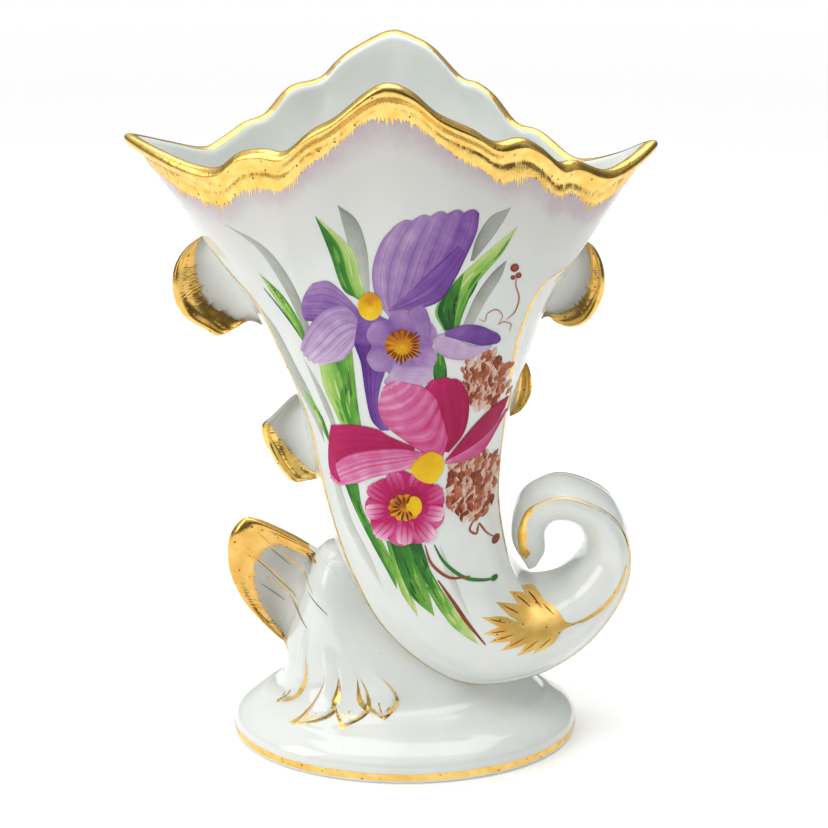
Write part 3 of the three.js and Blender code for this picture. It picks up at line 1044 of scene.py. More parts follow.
# %% Helper: one brushed shape
# Its veins and bristles are drawn with drawn_line, which comes two cells further on.
def brushed(family, layer, left, right, tones=(0.5, 0.5, 0.0), crown=0.0, ruffle=0.0, folds=6,
            bands=0, veins=0, bristles=0, ground=None, grid=(22, 34)):
    """tones: at the base, at the tip, and added from the left to the right edge.
    crown swells the tip by so many mm, ruffle scallops it, folds shade it in ribs along it, and
    bands shade it in curved ribs across it. veins are fine lines along it, and bristles are loose
    darker and lighter strokes on it."""
    ground = ground or horn_ground
    lift = paint_lift + paint_step * layer

    def flat(u, v):
        a = along_points(left, v * (len(left) - 1))
        b = along_points(right, v * (len(right) - 1))
        spot = a + (b - a) * u
        ahead = (a + b) / 2 - (along_points(left, max(0.0, v - 0.1) * (len(left) - 1))
                               + along_points(right, max(0.0, v - 0.1) * (len(right) - 1))) / 2
        if ahead.length > 0:
            swell = crown * 4 * u * (1 - u) + ruffle * abs(math.sin(math.pi * folds * u))
            spot = spot + ahead.normalized() * swell * v ** 3
        return spot

    def place(u, v):
        spot = flat(u, v)
        return dropped(ground, spot.x, spot.y, lift)

    def tone(u, v):
        base, tip, side = tones
        edge = abs(2 * u - 1)
        ribs = 0.06 * math.cos(2 * math.pi * folds * u) * min(1.0, ruffle * 2)
        if bands:
            ribs = 0.07 * math.cos(2 * math.pi * bands * (v - 0.12 * edge * edge))
        return base + (tip - base) * v + side * (u - 0.5) + ribs + 0.12 * edge ** 8

    known = sheets.setdefault(family, [])
    sheet = wrapped_grid(f"{family}_{len(known)}", grid[0], grid[1], place, closed=False,
                         notes={"tone": tone})
    shift = 0.37 * len(known)
    for corner in sheet.data.uv_layers[0].data:
        x, y = corner.uv
        if bands:
            x, y = 1.6 * (y - 0.12 * (2 * x - 1) ** 2), 0.5 * x
        corner.uv = (x + shift, y + shift)
    kept(sheet, family, ground)
    for k in range(veins):
        share = (k + 1) / (veins + 1)
        path = [flat(share, 0.08 + 0.86 * i / 8) for i in range(9)]
        drawn_line(family, layer + 0.8, path, 0.1, tone(share, 0.5) + 0.14, ground, 24)
    for _ in range(bristles):
        share, begin = random.uniform(0.05, 0.98), random.uniform(0.15, 0.7)
        reach = random.uniform(0.15, 0.3)
        path = [flat(share, begin + reach * i / 3) for i in range(4)]
        drawn_line(family, layer + 0.8, path, random.uniform(0.15, 0.4),
                   tone(share, begin) + random.choice((-0.32, -0.2, 0.28)), ground, 12)
    return sheet


# %% Helper: a round shape
def disc(family, layer, x, z, wide, tall, tones=(0.5, 0.5, 0.0), lobes=0, depth=0.0,
         grid=(16, 48)):
    """A round shape: u goes round it and v from its middle out. grid is (out, round)."""
    lift = paint_lift + paint_step * layer

    def place(u, v):
        turn = 2 * math.pi * u
        out = v * (1 - depth * (0.5 + 0.5 * math.cos(lobes * turn)) ** 2)
        return dropped(horn_ground, x + wide * out * math.cos(turn),
                       z + tall * out * math.sin(turn), lift)

    def tone(u, v):
        inner, outer, side = tones
        petal = 0.2 * (0.5 + 0.5 * math.cos(lobes * 2 * math.pi * u)) ** 3 * v if lobes else 0.0
        return inner + (outer - inner) * v + side * math.sin(2 * math.pi * u) + petal

    known = sheets.setdefault(family, [])
    sheet = wrapped_grid(f"{family}_{len(known)}", grid[1], grid[0], place, closed=False,
                         notes={"tone": tone})
    return kept(sheet, family, horn_ground)


# %% Helper: a drawn line
def drawn_line(family, layer, points, half_width, tone=0.6, ground=None, steps=60):
    """A thin brushed line through points (x, z) in mm. It is widest in its middle."""
    def edge(side):
        found = []
        for i in range(13):
            place = i / 12 * (len(points) - 1)
            here = along_points(points, place)
            ahead = (along_points(points, min(len(points) - 1, place + 0.05))
                     - along_points(points, max(0, place - 0.05)))
            width = half_width * (0.35 + 0.65 * math.sin(math.pi * i / 12))
            across = Vector((-ahead.y, ahead.x)).normalized() * width * side
            found.append(tuple(here + across))
        return found
    return brushed(family, layer, edge(-1), edge(1), (tone, tone, 0), ground=ground,
                   grid=(2, steps))


print("each layer of paint lies", paint_step / mm, "mm over the last")

# %% [markdown]
# ## Leaves of the spray
# The painter starts with what lies furthest back: pale grey shadow leaves in thinned paint, then
# green blades over them in one stroke each. The green brush was half dry, so each blade gets loose
# bristle strokes, darker and lighter than itself.

# %% Grey shadow leaves
for left, right, tones in (
    ([(-41, 146.5), (-33, 141), (-27, 132), (-22.5, 122), (-20, 114)],
     [(-41, 146.5), (-31, 141.5), (-24.5, 133), (-20.5, 122), (-20, 114)], (0.5, 0.8, 0.2)),
    ([(-37, 129), (-31.5, 119), (-26.5, 108), (-21.5, 98), (-17, 88)],
     [(-37, 129), (-29.5, 120), (-24, 109), (-19, 98), (-17, 88)], (0.3, 0.6, 0.3)),
    ([(-7.5, 131), (-9.5, 140), (-11.2, 148), (-12.6, 154)],
     [(-5, 131), (-5.6, 142), (-8, 150), (-12.6, 154)], (0.4, 0.95, 0.2)),
    ([(19.5, 139), (21, 145), (24.4, 150.4), (29.4, 152.4)],
     [(20.4, 139), (24, 143.6), (27, 148), (29.4, 152.4)], (0.9, 0.6, -0.2)),
    ([(17.5, 121), (21, 129.6), (25, 135.4), (28.6, 138.6)],
     [(20, 121), (23.8, 128.4), (27.2, 134), (28.6, 138.6)], (0.5, 0.9, -0.3)),
    ([(-22, 112), (-19, 104), (-16, 96), (-13, 88)],
     [(-22, 112), (-17.6, 104), (-14.5, 96), (-13, 88)], (0.4, 0.6, 0.2)),
    ([(-15, 78), (-12.5, 68), (-8, 58), (-2, 48)],
     [(-13.4, 78), (-10, 67), (-5.6, 58), (-2, 48)], (0.3, 0.15, 0.2)),
    ([(12.4, 62), (14, 54), (17, 47), (21, 40)],
     [(12.4, 62), (16.2, 53), (18.6, 46), (21, 40)], (0.3, 0.1, 0.2)),
):
    brushed("grey_leaves", 0, left, right, tones)
print("grey leaves", len(sheets["grey_leaves"]))

# %% Green leaves
random.seed(5)
for layer, left, right, tones in (
    (2, [(-21.5, 116), (-25, 122), (-29, 128), (-32.6, 134)],
     [(-20.6, 116), (-22.6, 122), (-27, 129), (-32.6, 134)], (0.6, 0.25, 0.3)),
    (2, [(-8.4, 129.4), (-11.8, 132), (-14.8, 141.4), (-18.2, 151)],
     [(-7.6, 129), (-10.2, 135), (-12.2, 143), (-18.2, 151)], (0.75, 0.8, -0.15)),
    (3, [(-8.4, 129.6), (-10.4, 135), (-12.4, 143), (-18.2, 151)],
     [(-5.8, 129), (-7.2, 134.5), (-9.4, 142.5), (-18.2, 151)], (0.35, 0.08, -0.2)),
    (2, [(13.2, 120.8), (11, 126), (14.2, 132), (19, 137), (24, 141.5), (31.2, 147.4)],
     [(16.6, 120.8), (19, 128), (21.6, 133.4), (25, 137.6), (27.8, 141), (31.2, 147.4)],
     (0.5, 0.05, 0.25)),
    (3, [(13.4, 121), (11.6, 126), (13.8, 131), (18, 136)],
     [(15.6, 121), (16.2, 126), (17, 131), (18, 136)], (1.0, 0.7, -0.1)),
    (2, [(-22.6, 103), (-20, 97), (-17.6, 92), (-15, 87)],
     [(-22.6, 103), (-18.8, 98), (-16.4, 92.5), (-15, 87)], (0.3, 0.5, 0.2)),
    (2, [(-18.6, 116), (-17, 105), (-14.6, 99), (-12, 93)],
     [(-13.6, 116), (-12, 105.5), (-10.2, 99), (-8.6, 93)], (0.25, 0.4, 0.5)),
    (3, [(-14.4, 116), (-12.6, 106.5), (-12.6, 101), (-10.4, 94)],
     [(-9.6, 116), (-8.8, 106), (-8.2, 100), (-7.4, 94)], (0.52, 0.6, -0.2)),
    (3, [(11.6, 104), (10.6, 110), (11.8, 116)],
     [(13.4, 104), (14, 110), (12.6, 116)], (0.9, 0.7, 0)),
    (2, [(-12.4, 79), (-9.4, 71), (-5.2, 62), (-1.6, 55), (1.4, 49)],
     [(-8.6, 79), (-7, 70.5), (-1.8, 61.6), (0.8, 55), (1.4, 49)], (0.75, 0.55, -0.3)),
    (2, [(-1.4, 63), (0.6, 55), (2.6, 48), (7, 41)],
     [(2, 63), (3.6, 55), (5.2, 48), (7, 41)], (0.5, 0.05, -0.2)),
    (3, [(-0.4, 63), (2.2, 54), (5.4, 47), (11.2, 41.6)],
     [(5, 63), (7.6, 55), (9.6, 48.5), (11.2, 41.6)], (0.8, 0.4, -0.2)),
    (4, [(4.2, 63), (6.4, 57), (8.4, 52.4), (11.2, 48.4)],
     [(7.6, 63), (9.4, 57), (10.6, 52), (11.2, 48.4)], (0.9, 0.75, 0)),
    (2, [(9, 50), (12.4, 43.6), (17, 37.6), (22.8, 33)],
     [(11.6, 51.5), (16, 44.5), (20.2, 38), (22.8, 33)], (0.5, 0.02, -0.25)),
    (3, [(5.4, 58), (8.4, 52), (12, 46.6), (16.6, 40.4)],
     [(8, 59), (11, 53), (13.8, 47.4), (16.6, 40.4)], (0.8, 0.35, -0.1)),
):
    brushed("green_leaves", layer, left, right, tones, bristles=7)

drawn_line("green_leaves", 5, [(11, 62), (13.6, 57), (18.6, 52.4), (24, 50.6), (27.4, 50.2)],
           0.5, 0.75)
disc("green_leaves", 6, 26.8, 50.3, 1.0, 0.8, (0.9, 0.7, 0), grid=(4, 20))
drawn_line("green_leaves", 5, [(-31.5, 130), (-26, 123), (-21.5, 116.4)], 0.22, 0.8)
print("strokes of green", len(sheets["green_leaves"]))

# %% [markdown]
# ## The violet flower
# Its petals open from one place like a fan, the far ones painted first and the near ones over
# them. A ruffle scallops the far edge, and fine darker veins run out to it.

# %% The violet flower
violet = functools.partial(brushed, "violet_petals")
violet(7, [(0, 124), (-3.6, 130), (-4.4, 137), (-2.4, 144), (0.8, 148.4)],
       [(2, 123.6), (9.4, 128.4), (15.2, 133.6), (18.4, 140), (21, 146.5), (21.6, 151.4)],
       (0.42, 0.46, 0.42), crown=1.6, ruffle=1.0, folds=5, veins=9, grid=(50, 50))
violet(8, [(-0.6, 126.6), (4.4, 131), (9.4, 136.4), (16.4, 143)],
       [(-0.6, 126.2), (6, 126.6), (13, 129.6), (18.4, 140)], (0.5, 0.8, 0.1),
       crown=0.4, ruffle=0.4, folds=3, veins=4, grid=(24, 44))
violet(7, [(-6, 124), (-10.6, 129.6), (-15, 133.6), (-19, 133)],
       [(-6, 123), (-11, 123.6), (-16, 122.6), (-21.2, 122.6)], (0.65, 0.45, 0.3), crown=1.8,
       veins=5, grid=(24, 34))
violet(9, [(-6.6, 121.4), (-10.4, 127), (-15.6, 126.4), (-20.4, 121), (-22.4, 115.6)],
       [(-7, 120.6), (-8.6, 117.6), (-10.4, 114.6), (-12.4, 112.6), (-16, 111.4)],
       (0.34, 0.1, -0.15), crown=1.8, ruffle=0.7, folds=5, veins=6, grid=(36, 40))
violet(9, [(-2.2, 119), (-8.8, 118.6), (-7.4, 112), (-6.4, 104), (-5, 97), (-2.6, 94)],
       [(-1.6, 118), (-1, 112), (-2.6, 106), (-3.2, 101), (-2, 97), (-0.4, 94)],
       (0.9, 0.7, -0.35), veins=3, grid=(20, 50))
violet(10, [(-8, 124), (-6, 126.4), (-2, 124.6), (1, 123)],
       [(-9, 117.6), (-6, 117), (-3, 118.4), (1, 121)], (0.75, 0.5, 0.1))
disc("violet_petals", 11, 2.8, 116.8, 9.4, 9.8, (0.6, 0.3, 0.08), lobes=6, depth=0.2,
     grid=(24, 120))
violet(12, [(0, 110), (-1.6, 107), (2, 106.4), (8, 106.6), (10.4, 108)],
       [(1, 112), (4, 111.6), (6, 111.6), (9, 111.4), (10.4, 111)], (0.25, 0.15, 0.1))
violet(12, [(10.4, 118.6), (13.4, 120), (20, 116.6), (25.4, 116)],
       [(11, 115.6), (14.4, 113.4), (19, 112.8), (23.4, 114.4)], (0.2, 0.1, 0.1), crown=0.6)
violet(13, [(13.4, 120.6), (17.4, 122), (22, 121.6), (26.6, 119)],
       [(13.4, 119.4), (17.6, 118), (22, 116.4), (26.4, 116.2)], (0.6, 0.8, 0.1), crown=1.0)
violet(12, [(7.6, 128), (9, 126), (10, 122), (9.6, 118)],
       [(4, 126), (5, 124), (6, 121), (7.6, 118)], (0.5, 0.45, 0))
print("strokes of violet", len(sheets["violet_petals"]))

# %% [markdown]
# ## The pink flower
# Long outer petals stand behind a full round head. The largest of them is washed in curved bands,
# and the head is a disc with nine short petals on it, each deep at its base and paler at its tip.

# %% The pink flower's outer petals
pink = functools.partial(brushed, "pink_petals")
pink(14, [(13, 88), (11.4, 94), (9, 99.6), (7.6, 104), (9.4, 107)],
     [(14.6, 87.6), (18.4, 92.6), (19.6, 98), (19.4, 103), (17.8, 106.6)], (0.95, 0.75, 0.2),
     crown=1.2, ruffle=0.4, folds=3, veins=4, grid=(30, 40))
pink(14, [(13.8, 85.6), (18.4, 91.4), (22, 95.4), (26, 98.6), (30, 100.6)],
     [(13.8, 84.8), (20, 87.6), (24.4, 91), (28, 95.6), (30, 100.6)], (0.85, 0.95, -0.1),
     grid=(20, 36))
pink(15, [(14, 85.4), (20, 88.2), (25, 91.6), (30, 97.4)],
     [(13.6, 84.4), (18.6, 84.6), (24, 87), (29.4, 96)], (0.3, 0.5, 0.15), ruffle=0.3, folds=4,
     veins=4, grid=(24, 36))
pink(16, [(12.6, 86.4), (8.6, 87.6), (3, 91.6), (-1.4, 95.6), (-3.2, 100), (-2.4, 103.6)],
     [(13.2, 86.4), (14.2, 92), (12.6, 98.4), (11, 103), (7.6, 106.2), (3.4, 107.2)],
     (0.5, 0.3, 0.05), crown=1.8, ruffle=0.3, bands=8, grid=(36, 90))
pink(17, [(6, 89.4), (0, 92.2), (-4, 94.4), (-10, 95), (-15.2, 94)],
     [(6, 88.6), (0, 88.4), (-6, 87.4), (-11, 85.6), (-15.6, 82)], (0.9, 0.78, 0.15), crown=0.6,
     veins=3, grid=(26, 40))
pink(18, [(9.4, 87.6), (2, 89), (-6, 88.2), (-11.4, 86), (-14.8, 82.4)],
     [(8.6, 86.4), (4, 83.4), (-4, 81), (-8.6, 78.8), (-12.6, 77.4)], (0.35, 0.3, -0.15),
     crown=1.8, ruffle=0.5, folds=5, veins=6, grid=(36, 44))
pink(19, [(-15.4, 92), (-16, 87), (-15.8, 81), (-13.6, 78)],
     [(-13.6, 91), (-13.8, 86), (-14, 82), (-12.8, 78.4)], (0.8, 0.7, -0.1))
print("strokes of pink", len(sheets["pink_petals"]))

# %% The pink flower's head
head_x = 3.6
head_z = 72.3
head_petals = 9
disc("pink_petals", 20, head_x, head_z, 10.3, 10.6, (0.85, 0.5, 0.14), lobes=head_petals,
     depth=0.07, grid=(24, 120))
for k in range(head_petals):
    turn = 2 * math.pi * (k + 0.5) / head_petals + 0.15
    reach = 9.6 + 0.8 * math.sin(3 * k)
    tip = Vector((head_x + reach * math.cos(turn), head_z + reach * math.sin(turn)))
    base = Vector((head_x + 3 * math.cos(turn), head_z + 2.6 * math.sin(turn)))
    middle = (base + tip) / 2
    aside = Vector((-math.sin(turn), math.cos(turn))) * 2.1
    tip_tone = 0.08 if math.sin(turn) < 0.2 else 0.42
    pink(21, [base, middle - aside, tip - aside], [base, middle + aside, tip + aside],
         (0.95, tip_tone, 0.2 * (-1) ** k), crown=0.9, ruffle=0.4, folds=3, veins=2,
         grid=(14, 18))
disc("pink_petals", 22, 4.2, 73.6, 5.8, 5.0, (1.1, 0.8, 0.1), lobes=7, depth=0.2, grid=(10, 60))
print("strokes of pink", len(sheets["pink_petals"]))

# %% [markdown]
# ## The yellow centres
# The centres go on over the petals, as dots of thick yellow with a ring of short stamens pulled
# out of them while the paint is wet. Each stamen is a drawn line, widest in its middle.

# %% The yellow centres
disc("yellow_centres", 16, -5, 127.4, 3.0, 3.7, (0.4, 0.35, 0.25), grid=(10, 40))
disc("yellow_centres", 16, 2.9, 117.2, 4.4, 4.3, (0.5, 0.72, 0.1), lobes=14, depth=0.08,
     grid=(12, 84))
brushed("yellow_centres", 23, [(4.6, 83.4), (6.6, 86.2), (10, 88.2), (12.8, 87)],
        [(4.6, 83.2), (7, 80.4), (10.6, 79.2), (13, 82)], (0.4, 0.3, -0.2), crown=0.5)
disc("yellow_centres", 24, 3.5, 72.6, 4.3, 3.8, (0.75, 0.6, 0.1), lobes=11, depth=0.1,
     grid=(12, 66))
disc("yellow_centres", 25, 5.8, 73, 2.0, 2.8, (0.3, 0.4, 0), grid=(8, 30))


def stamens(layer, x, z, inner, turns, reach, swing, half_width, tone):
    """inner is where they start, across and up. swing is how unevenly far they reach, and how
    quickly that changes from one to the next."""
    for k, turn in enumerate(turns):
        out = reach + swing[0] * math.sin(swing[1] * k)
        drawn_line("yellow_centres", layer, [
            (x + inner[0] * math.cos(turn), z + inner[1] * math.sin(turn)),
            (x + out * math.cos(turn), z + out * math.sin(turn))], half_width, tone, steps=8)


stamens(17, 2.9, 117.2, (2.4, 2.4), evenly(-2.6, 1.0, 15), 4.6, (0.7, 5), 0.28, 0.95)
stamens(26, 3.5, 72.6, (1.4, 1.2), evenly(1.2, 5.4, 9), 3.6, (0.6, 4), 0.3, 0.97)
print("strokes of yellow", len(sheets["yellow_centres"]))

# %% [markdown]
# ## Rust-coloured blossoms
# Two loose heads of small flowers are dabbed on with the tip of the brush, over a pale wash, and
# stems, tendrils and berries are drawn between them. The dabs fall at random inside an oval, as
# they do from a quick hand, and a fixed seed puts them in the same places every time.

# %% Heads of florets
def florets(layer, x, z, wide, tall, count, furthest):
    """Small drops over a pale oval wash. None reaches past x = furthest, where the side starts."""
    disc("rust_blossoms", layer, x, z, wide * 0.9, tall, (0.16, 0.04, 0.05), lobes=11, depth=0.2,
         grid=(10, 66))
    for k in range(count):
        turn = random.uniform(0, 2 * math.pi)
        out = math.sqrt(random.random())
        base = Vector((x + wide * out * math.cos(turn), z + tall * out * math.sin(turn)))
        lean = math.pi / 2 - 0.35 + random.uniform(-0.7, 0.7)
        ahead = Vector((math.cos(lean), math.sin(lean))) * random.uniform(1.8, 3.6)
        aside = Vector((-ahead.y, ahead.x)) * random.uniform(0.16, 0.26)
        full = random.choice((0.25, 0.6, 0.8, 1.0))
        if (base + ahead).x > furthest:
            continue
        brushed("rust_blossoms", layer + 2 + k % 4,
                [base, base + ahead * 0.6 - aside, base + ahead],
                [base, base + ahead * 0.6 + aside, base + ahead], (full, full - 0.2, 0.2),
                grid=(4, 8))


random.seed(11)
florets(5, 23.6, 105, 6.4, 7.6, 150, 31.2)
florets(5, 20.8, 76.4, 7.2, 9.8, 200, 28.6)
print("dabs of rust", len(sheets["rust_blossoms"]))

# %% Stems, tendrils and berries
rust_line = functools.partial(drawn_line, "rust_blossoms", 6)
rust_line([(24.6, 68), (21.6, 67.6), (20.2, 65), (22, 63.6), (22.6, 66), (24.6, 63), (27, 60.6)],
          0.3, 0.7, steps=90)
disc("rust_blossoms", 7, 27.2, 60, 1.1, 1.2, (0.8, 0.9, 0), grid=(4, 20))
rust_line([(31.2, 134.4), (31, 131.4), (31.9, 127.9), (31, 124.3), (28.9, 122.4)], 0.2, 0.45)
rust_line([(21.8, 123.4), (23.4, 122.6), (24, 124.6), (26.2, 125.4), (27.8, 123.6),
           (26.8, 121.4)], 0.14, 0.4, steps=90)
rust_line([(26.6, 121.2), (28.2, 121.8), (30, 120.8), (29.6, 119)], 0.14, 0.4)
for x, z, radius in ((30.6, 136.2, 1.1), (31.6, 134, 0.8), (30.2, 133.6, 0.6)):
    disc("rust_blossoms", 7, x, z, radius, radius, (0.7, 0.95, 0), grid=(4, 20))
rust_line([(8.6, 62), (10.4, 56.6), (15, 52.6), (20.4, 52.4)], 0.42, 0.75)
rust_line([(12, 52), (16.2, 45.4), (20.2, 39), (24.6, 33)], 0.5, 0.85)
print("strokes of rust", len(sheets["rust_blossoms"]))

# %% [markdown]
# ## The gold acanthus by the scroll
# A leaf in matt gold fills the bend, with a midrib that runs out to the scroll as a long stem.
# Each of its ten fingers is one stroke from the midrib to a tip, with a thin rust line on it.

# %% The gold acanthus by the scroll
gold_leafing = functools.partial(brushed, "acanthus_gold")
gold_leafing(1, [(29, 36.2), (33, 38.4), (38, 39.4), (48.5, 37)],
             [(29, 36.2), (33, 33.8), (38, 33.2), (48.5, 37)], grid=(16, 40))
# Each finger: where it leaves the midrib, its tip, and its half width.
midrib_height = 36.6
fingers = ((31, (23.4, 40.8), 1.0), (34.4, (27.2, 44.2), 1.1), (37.4, (30.8, 45.6), 1.1),
           (40, (34.2, 45), 1.1), (42.6, (38.4, 42.2), 1.0), (31, (23.8, 36.2), 1.0),
           (33, (25.4, 33.6), 1.1), (36, (28.6, 31), 1.1), (39, (32.8, 29.2), 1.1),
           (41.6, (37.2, 29.8), 1.1))
for number, (start, tip, half) in enumerate(fingers):
    base, tip = Vector((start + 4, midrib_height)), Vector(tip)
    middle = base * 0.5 + tip * 0.5
    aside = Vector((tip.y - base.y, base.x - tip.x)).normalized() * half * 1.35
    gold_leafing(2 + number % 3, [base, middle - aside, tip], [base, middle + aside, tip],
                 grid=(8, 18))
    drawn_line("rust_blossoms", 6, [base * 0.55 + tip * 0.45, base * 0.2 + tip * 0.8], 0.14, 1.0,
               steps=10)
drawn_line("acanthus_gold", 6, [(47.4, 37), (51, 38.2), (55, 40.8), (58.4, 44.4), (60.6, 48.4),
                                (61.8, 52.4)], 0.5)
print("strokes of gold", len(sheets["acanthus_gold"]))

# %% [markdown]
# ## Veins of the largest leaf
# Three gold veins and a few grey ones are drawn where the leaf runs into the buttress. They are
# dropped onto the two pieces together, because they cross from one to the other.

# %% Veins of the largest leaf
leaf_and_foot = ground_of(leaf_skins[largest_leaf], foot_skin)
for points in ([(-38, 52.6), (-32, 46), (-25.4, 38.6)], [(-31, 53.4), (-26.6, 49), (-21, 43)],
               [(-34.6, 45.6), (-28, 39.4), (-23.4, 34.4)]):
    drawn_line("acanthus_gold", 2, points, 0.17, ground=leaf_and_foot)
for points in ([(-22.4, 42.6), (-17, 38.4)], [(-27, 37.6), (-22.6, 33.4)],
               [(-37, 51), (-31, 44.4), (-26, 39)], [(-32.4, 53), (-27.4, 48)],
               [(-35, 42.6), (-29, 37.6)]):
    drawn_line("grey_leaves", 2, points, 0.18, 1.0, ground=leaf_and_foot)
print("strokes of grey", len(sheets["grey_leaves"]))

# %% [markdown]
# ## One piece for each colour
# Hundreds of small sheets would be slow to handle. The sheets of one colour share one paint, so
# they are joined into one piece, and the tones they carry keep them apart to the eye.

# %% The brushed sheets are joined by colour
painted = {family: joined(found, family) for family, found in sheets.items()}
for family, sheet in painted.items():
    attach(sheet, "root")
    "bright_gold" if "gold" in family else "flower_enamel"
    print(family, len(sheet.data.polygons))

# %% [markdown]
# ## Finishes
# A finish is a small network of shader nodes. Written as sums on wrapped sockets it reads like
# the recipe it is: a value plus or times another adds its Math node by itself.

# %% Helper: shader sums
class Value:
    """A socket of a node tree. A sum on it adds the Math node that works it out."""

    def __init__(self, tree, socket):
        self.tree = tree
        self.socket = socket

    def node(self, kind, settings=(), sockets=(), output=0):
        """Adds a node: settings are set first, and sockets are given values or links."""
        made = self.tree.nodes.new(kind)
        for name, setting in dict(settings).items():
            if name == "stops":
                fill_ramp(made.color_ramp, setting)
            else:
                setattr(made, name, setting)
        for name, value in dict(sockets).items():
            give(self.tree, made.inputs[name], value)
        return Value(self.tree, made.outputs[output])

    def sum(self, operation, first, second):
        return self.node("ShaderNodeMath", {"operation": operation}, {0: first, 1: second})

    def __add__(self, other):
        return self.sum("ADD", self, other)

    def __radd__(self, other):
        return self.sum("ADD", other, self)

    def __sub__(self, other):
        return self.sum("SUBTRACT", self, other)

    def __rsub__(self, other):
        return self.sum("SUBTRACT", other, self)

    def __mul__(self, other):
        return self.sum("MULTIPLY", self, other)

    def __rmul__(self, other):
        return self.sum("MULTIPLY", other, self)

    def between(self, low, high):
        """0 below low and 1 above high, smooth between them."""
        return self.node("ShaderNodeMapRange", {"interpolation_type": "SMOOTHSTEP"},
                         {"Value": self, "From Min": low, "From Max": high})

    def carried(self, attribute):
        """The number that the mesh carries under this name."""
        return self.node("ShaderNodeAttribute", {"attribute_name": attribute}, output=2)

    def dots(self, scale, low, high):
        """1 on scattered dots, of scale per metre, and 0 between them."""
        return 1 - self.node("ShaderNodeTexVoronoi", {"feature": "F1"},
                             {"Vector": self, "Scale": scale}).between(low, high)

    def noise(self, scale, detail=2.0, rough=0.5):
        """Clouds on this vector, of scale per metre."""
        return self.node("ShaderNodeTexNoise", {"noise_dimensions": "3D"},
                         {"Vector": self, "Scale": scale, "Detail": detail, "Roughness": rough})

    def blend(self, first, second):
        """The first colour where this is 0 and the second where it is 1."""
        return self.node("ShaderNodeMix", {"data_type": "RGBA"},
                         {0: self, 6: first, 7: second}, output=2)

    def bump(self, depth, strength=1.0):
        return self.node("ShaderNodeBump", {}, {"Height": self, "Distance": depth,
                                                "Strength": strength})


def give(tree, socket, value):
    """Links a Value to a socket, or sets a plain number or colour on it."""
    if isinstance(value, Value):
        tree.links.new(value.socket, socket)
    elif isinstance(value, tuple) and len(value) == 3 and socket.type == "RGBA":
        socket.default_value = (*value, 1)
    else:
        socket.default_value = value


def fill_ramp(ramp, stops):
    """stops are pairs of place and colour."""
    while len(ramp.elements) > 1:
        ramp.elements.remove(ramp.elements[-1])
    for number, (place, colour) in enumerate(stops):
        element = ramp.elements[0] if number == 0 else ramp.elements.new(place)
        element.position = place
        element.color = (*colour, 1)


def rgb(red, green, blue):
    """A colour as a paint chart gives it, from 0 to 255, turned to the shader's linear light."""
    return tuple(((c / 255 + 0.055) / 1.055) ** 2.4 for c in (red, green, blue))


print("white as light", rgb(255, 255, 255))


# %% Helper: a finish
def finish(name, **constants):
    """A new material, the place on the piece as a Value, and a way to set the shader."""
    material = bpy.data.materials.new(name)
    material.use_nodes = True
    tree = material.node_tree
    shader = tree.nodes["Principled BSDF"]
    for socket, value in constants.items():
        give(tree, shader.inputs[socket.replace("_", " ")], value)
    spot = Value(tree, tree.nodes.new("ShaderNodeTexCoord").outputs["Object"])

    def put(socket, value):
        give(tree, shader.inputs[socket], value)

    return material, spot, put


print("materials so far", len(bpy.data.materials))

# %% [markdown]
# ## The glaze
# A clear glaze over white porcelain is never one flat white: it lies cooler in some places than in
# others, its surface is faintly wavy, and the brushed gold leaves a mauve flush below it. A glass
# shell over a white body would be slow and grey, so the white shader has a clear coat instead.

# %% Glaze
glaze_light = rgb(233, 236, 231)
glaze_cool = rgb(224, 229, 225)
flush = rgb(188, 158, 174)


def glaze_finish(name, with_flush_and_shade=False, with_shade=False):
    material, spot, put = finish(name, IOR=1.5, Coat_Weight=0.6, Coat_Roughness=0.03,
                                 Subsurface_Weight=0.08, Subsurface_Scale=0.002)
    clouds = spot.noise(45, 2)
    colour = clouds.between(0.35, 0.7).blend(glaze_light, glaze_cool)
    if with_flush_and_shade:
        below = spot.carried("below_rim")
        streaks = spot.noise(420, 3)
        # Painted shade: the glaze is painted greyer towards the rim, where the flare faces down,
        # and this fades out 50 mm below it.
        shade = 1 - below.between(8, 50)
        colour = (0.55 * shade).blend(colour, rgb(206, 199, 194))
        near = 1 - (below + 5 * streaks).between(10, 21)
        colour = (near * (0.35 + 0.6 * spot.noise(160, 2))).blend(colour, flush)
    if with_shade:
        # Painted shade: the dish of each leaf is painted grey-brown where its hollow lies in
        # shadow.
        wash = spot.carried("shade")
        colour = (wash * (0.6 + 0.6 * spot.noise(130, 3))).blend(colour, rgb(146, 138, 120))
    specks = spot.dots(95.0, 0.012, 0.03)
    put("Base Color", (specks * 0.5).blend(colour, rgb(150, 140, 128)))
    put("Roughness", 0.07 + 0.05 * spot.noise(200, 2))
    waves = spot.noise(70, 1) + 0.12 * spot.noise(700, 2)
    put("Normal", waves.bump(0.12 * mm, 0.6))
    return material


horn_skin.data.materials.append(glaze_finish("horn_glaze", with_flush_and_shade=True))
foot_skin.data.materials.append(glaze_finish("foot_glaze"))
leaf_glaze = glaze_finish("leaf_glaze", with_shade=True)
for leaf in leaf_skins.values():
    leaf.data.materials.append(leaf_glaze)
print("nodes in the horn's glaze", len(bpy.data.materials["horn_glaze"].node_tree.nodes))

# %% [markdown]
# ## Bright gold
# Liquid bright gold fires to a mirror, but the brush leaves thicker and thinner strokes, small
# pinholes and worn spots that look brown. One recipe serves for the rich gold of the bands, the
# thin gold of the lines and the matt gold of the painted leaf. Only the numbers that it is given
# change.

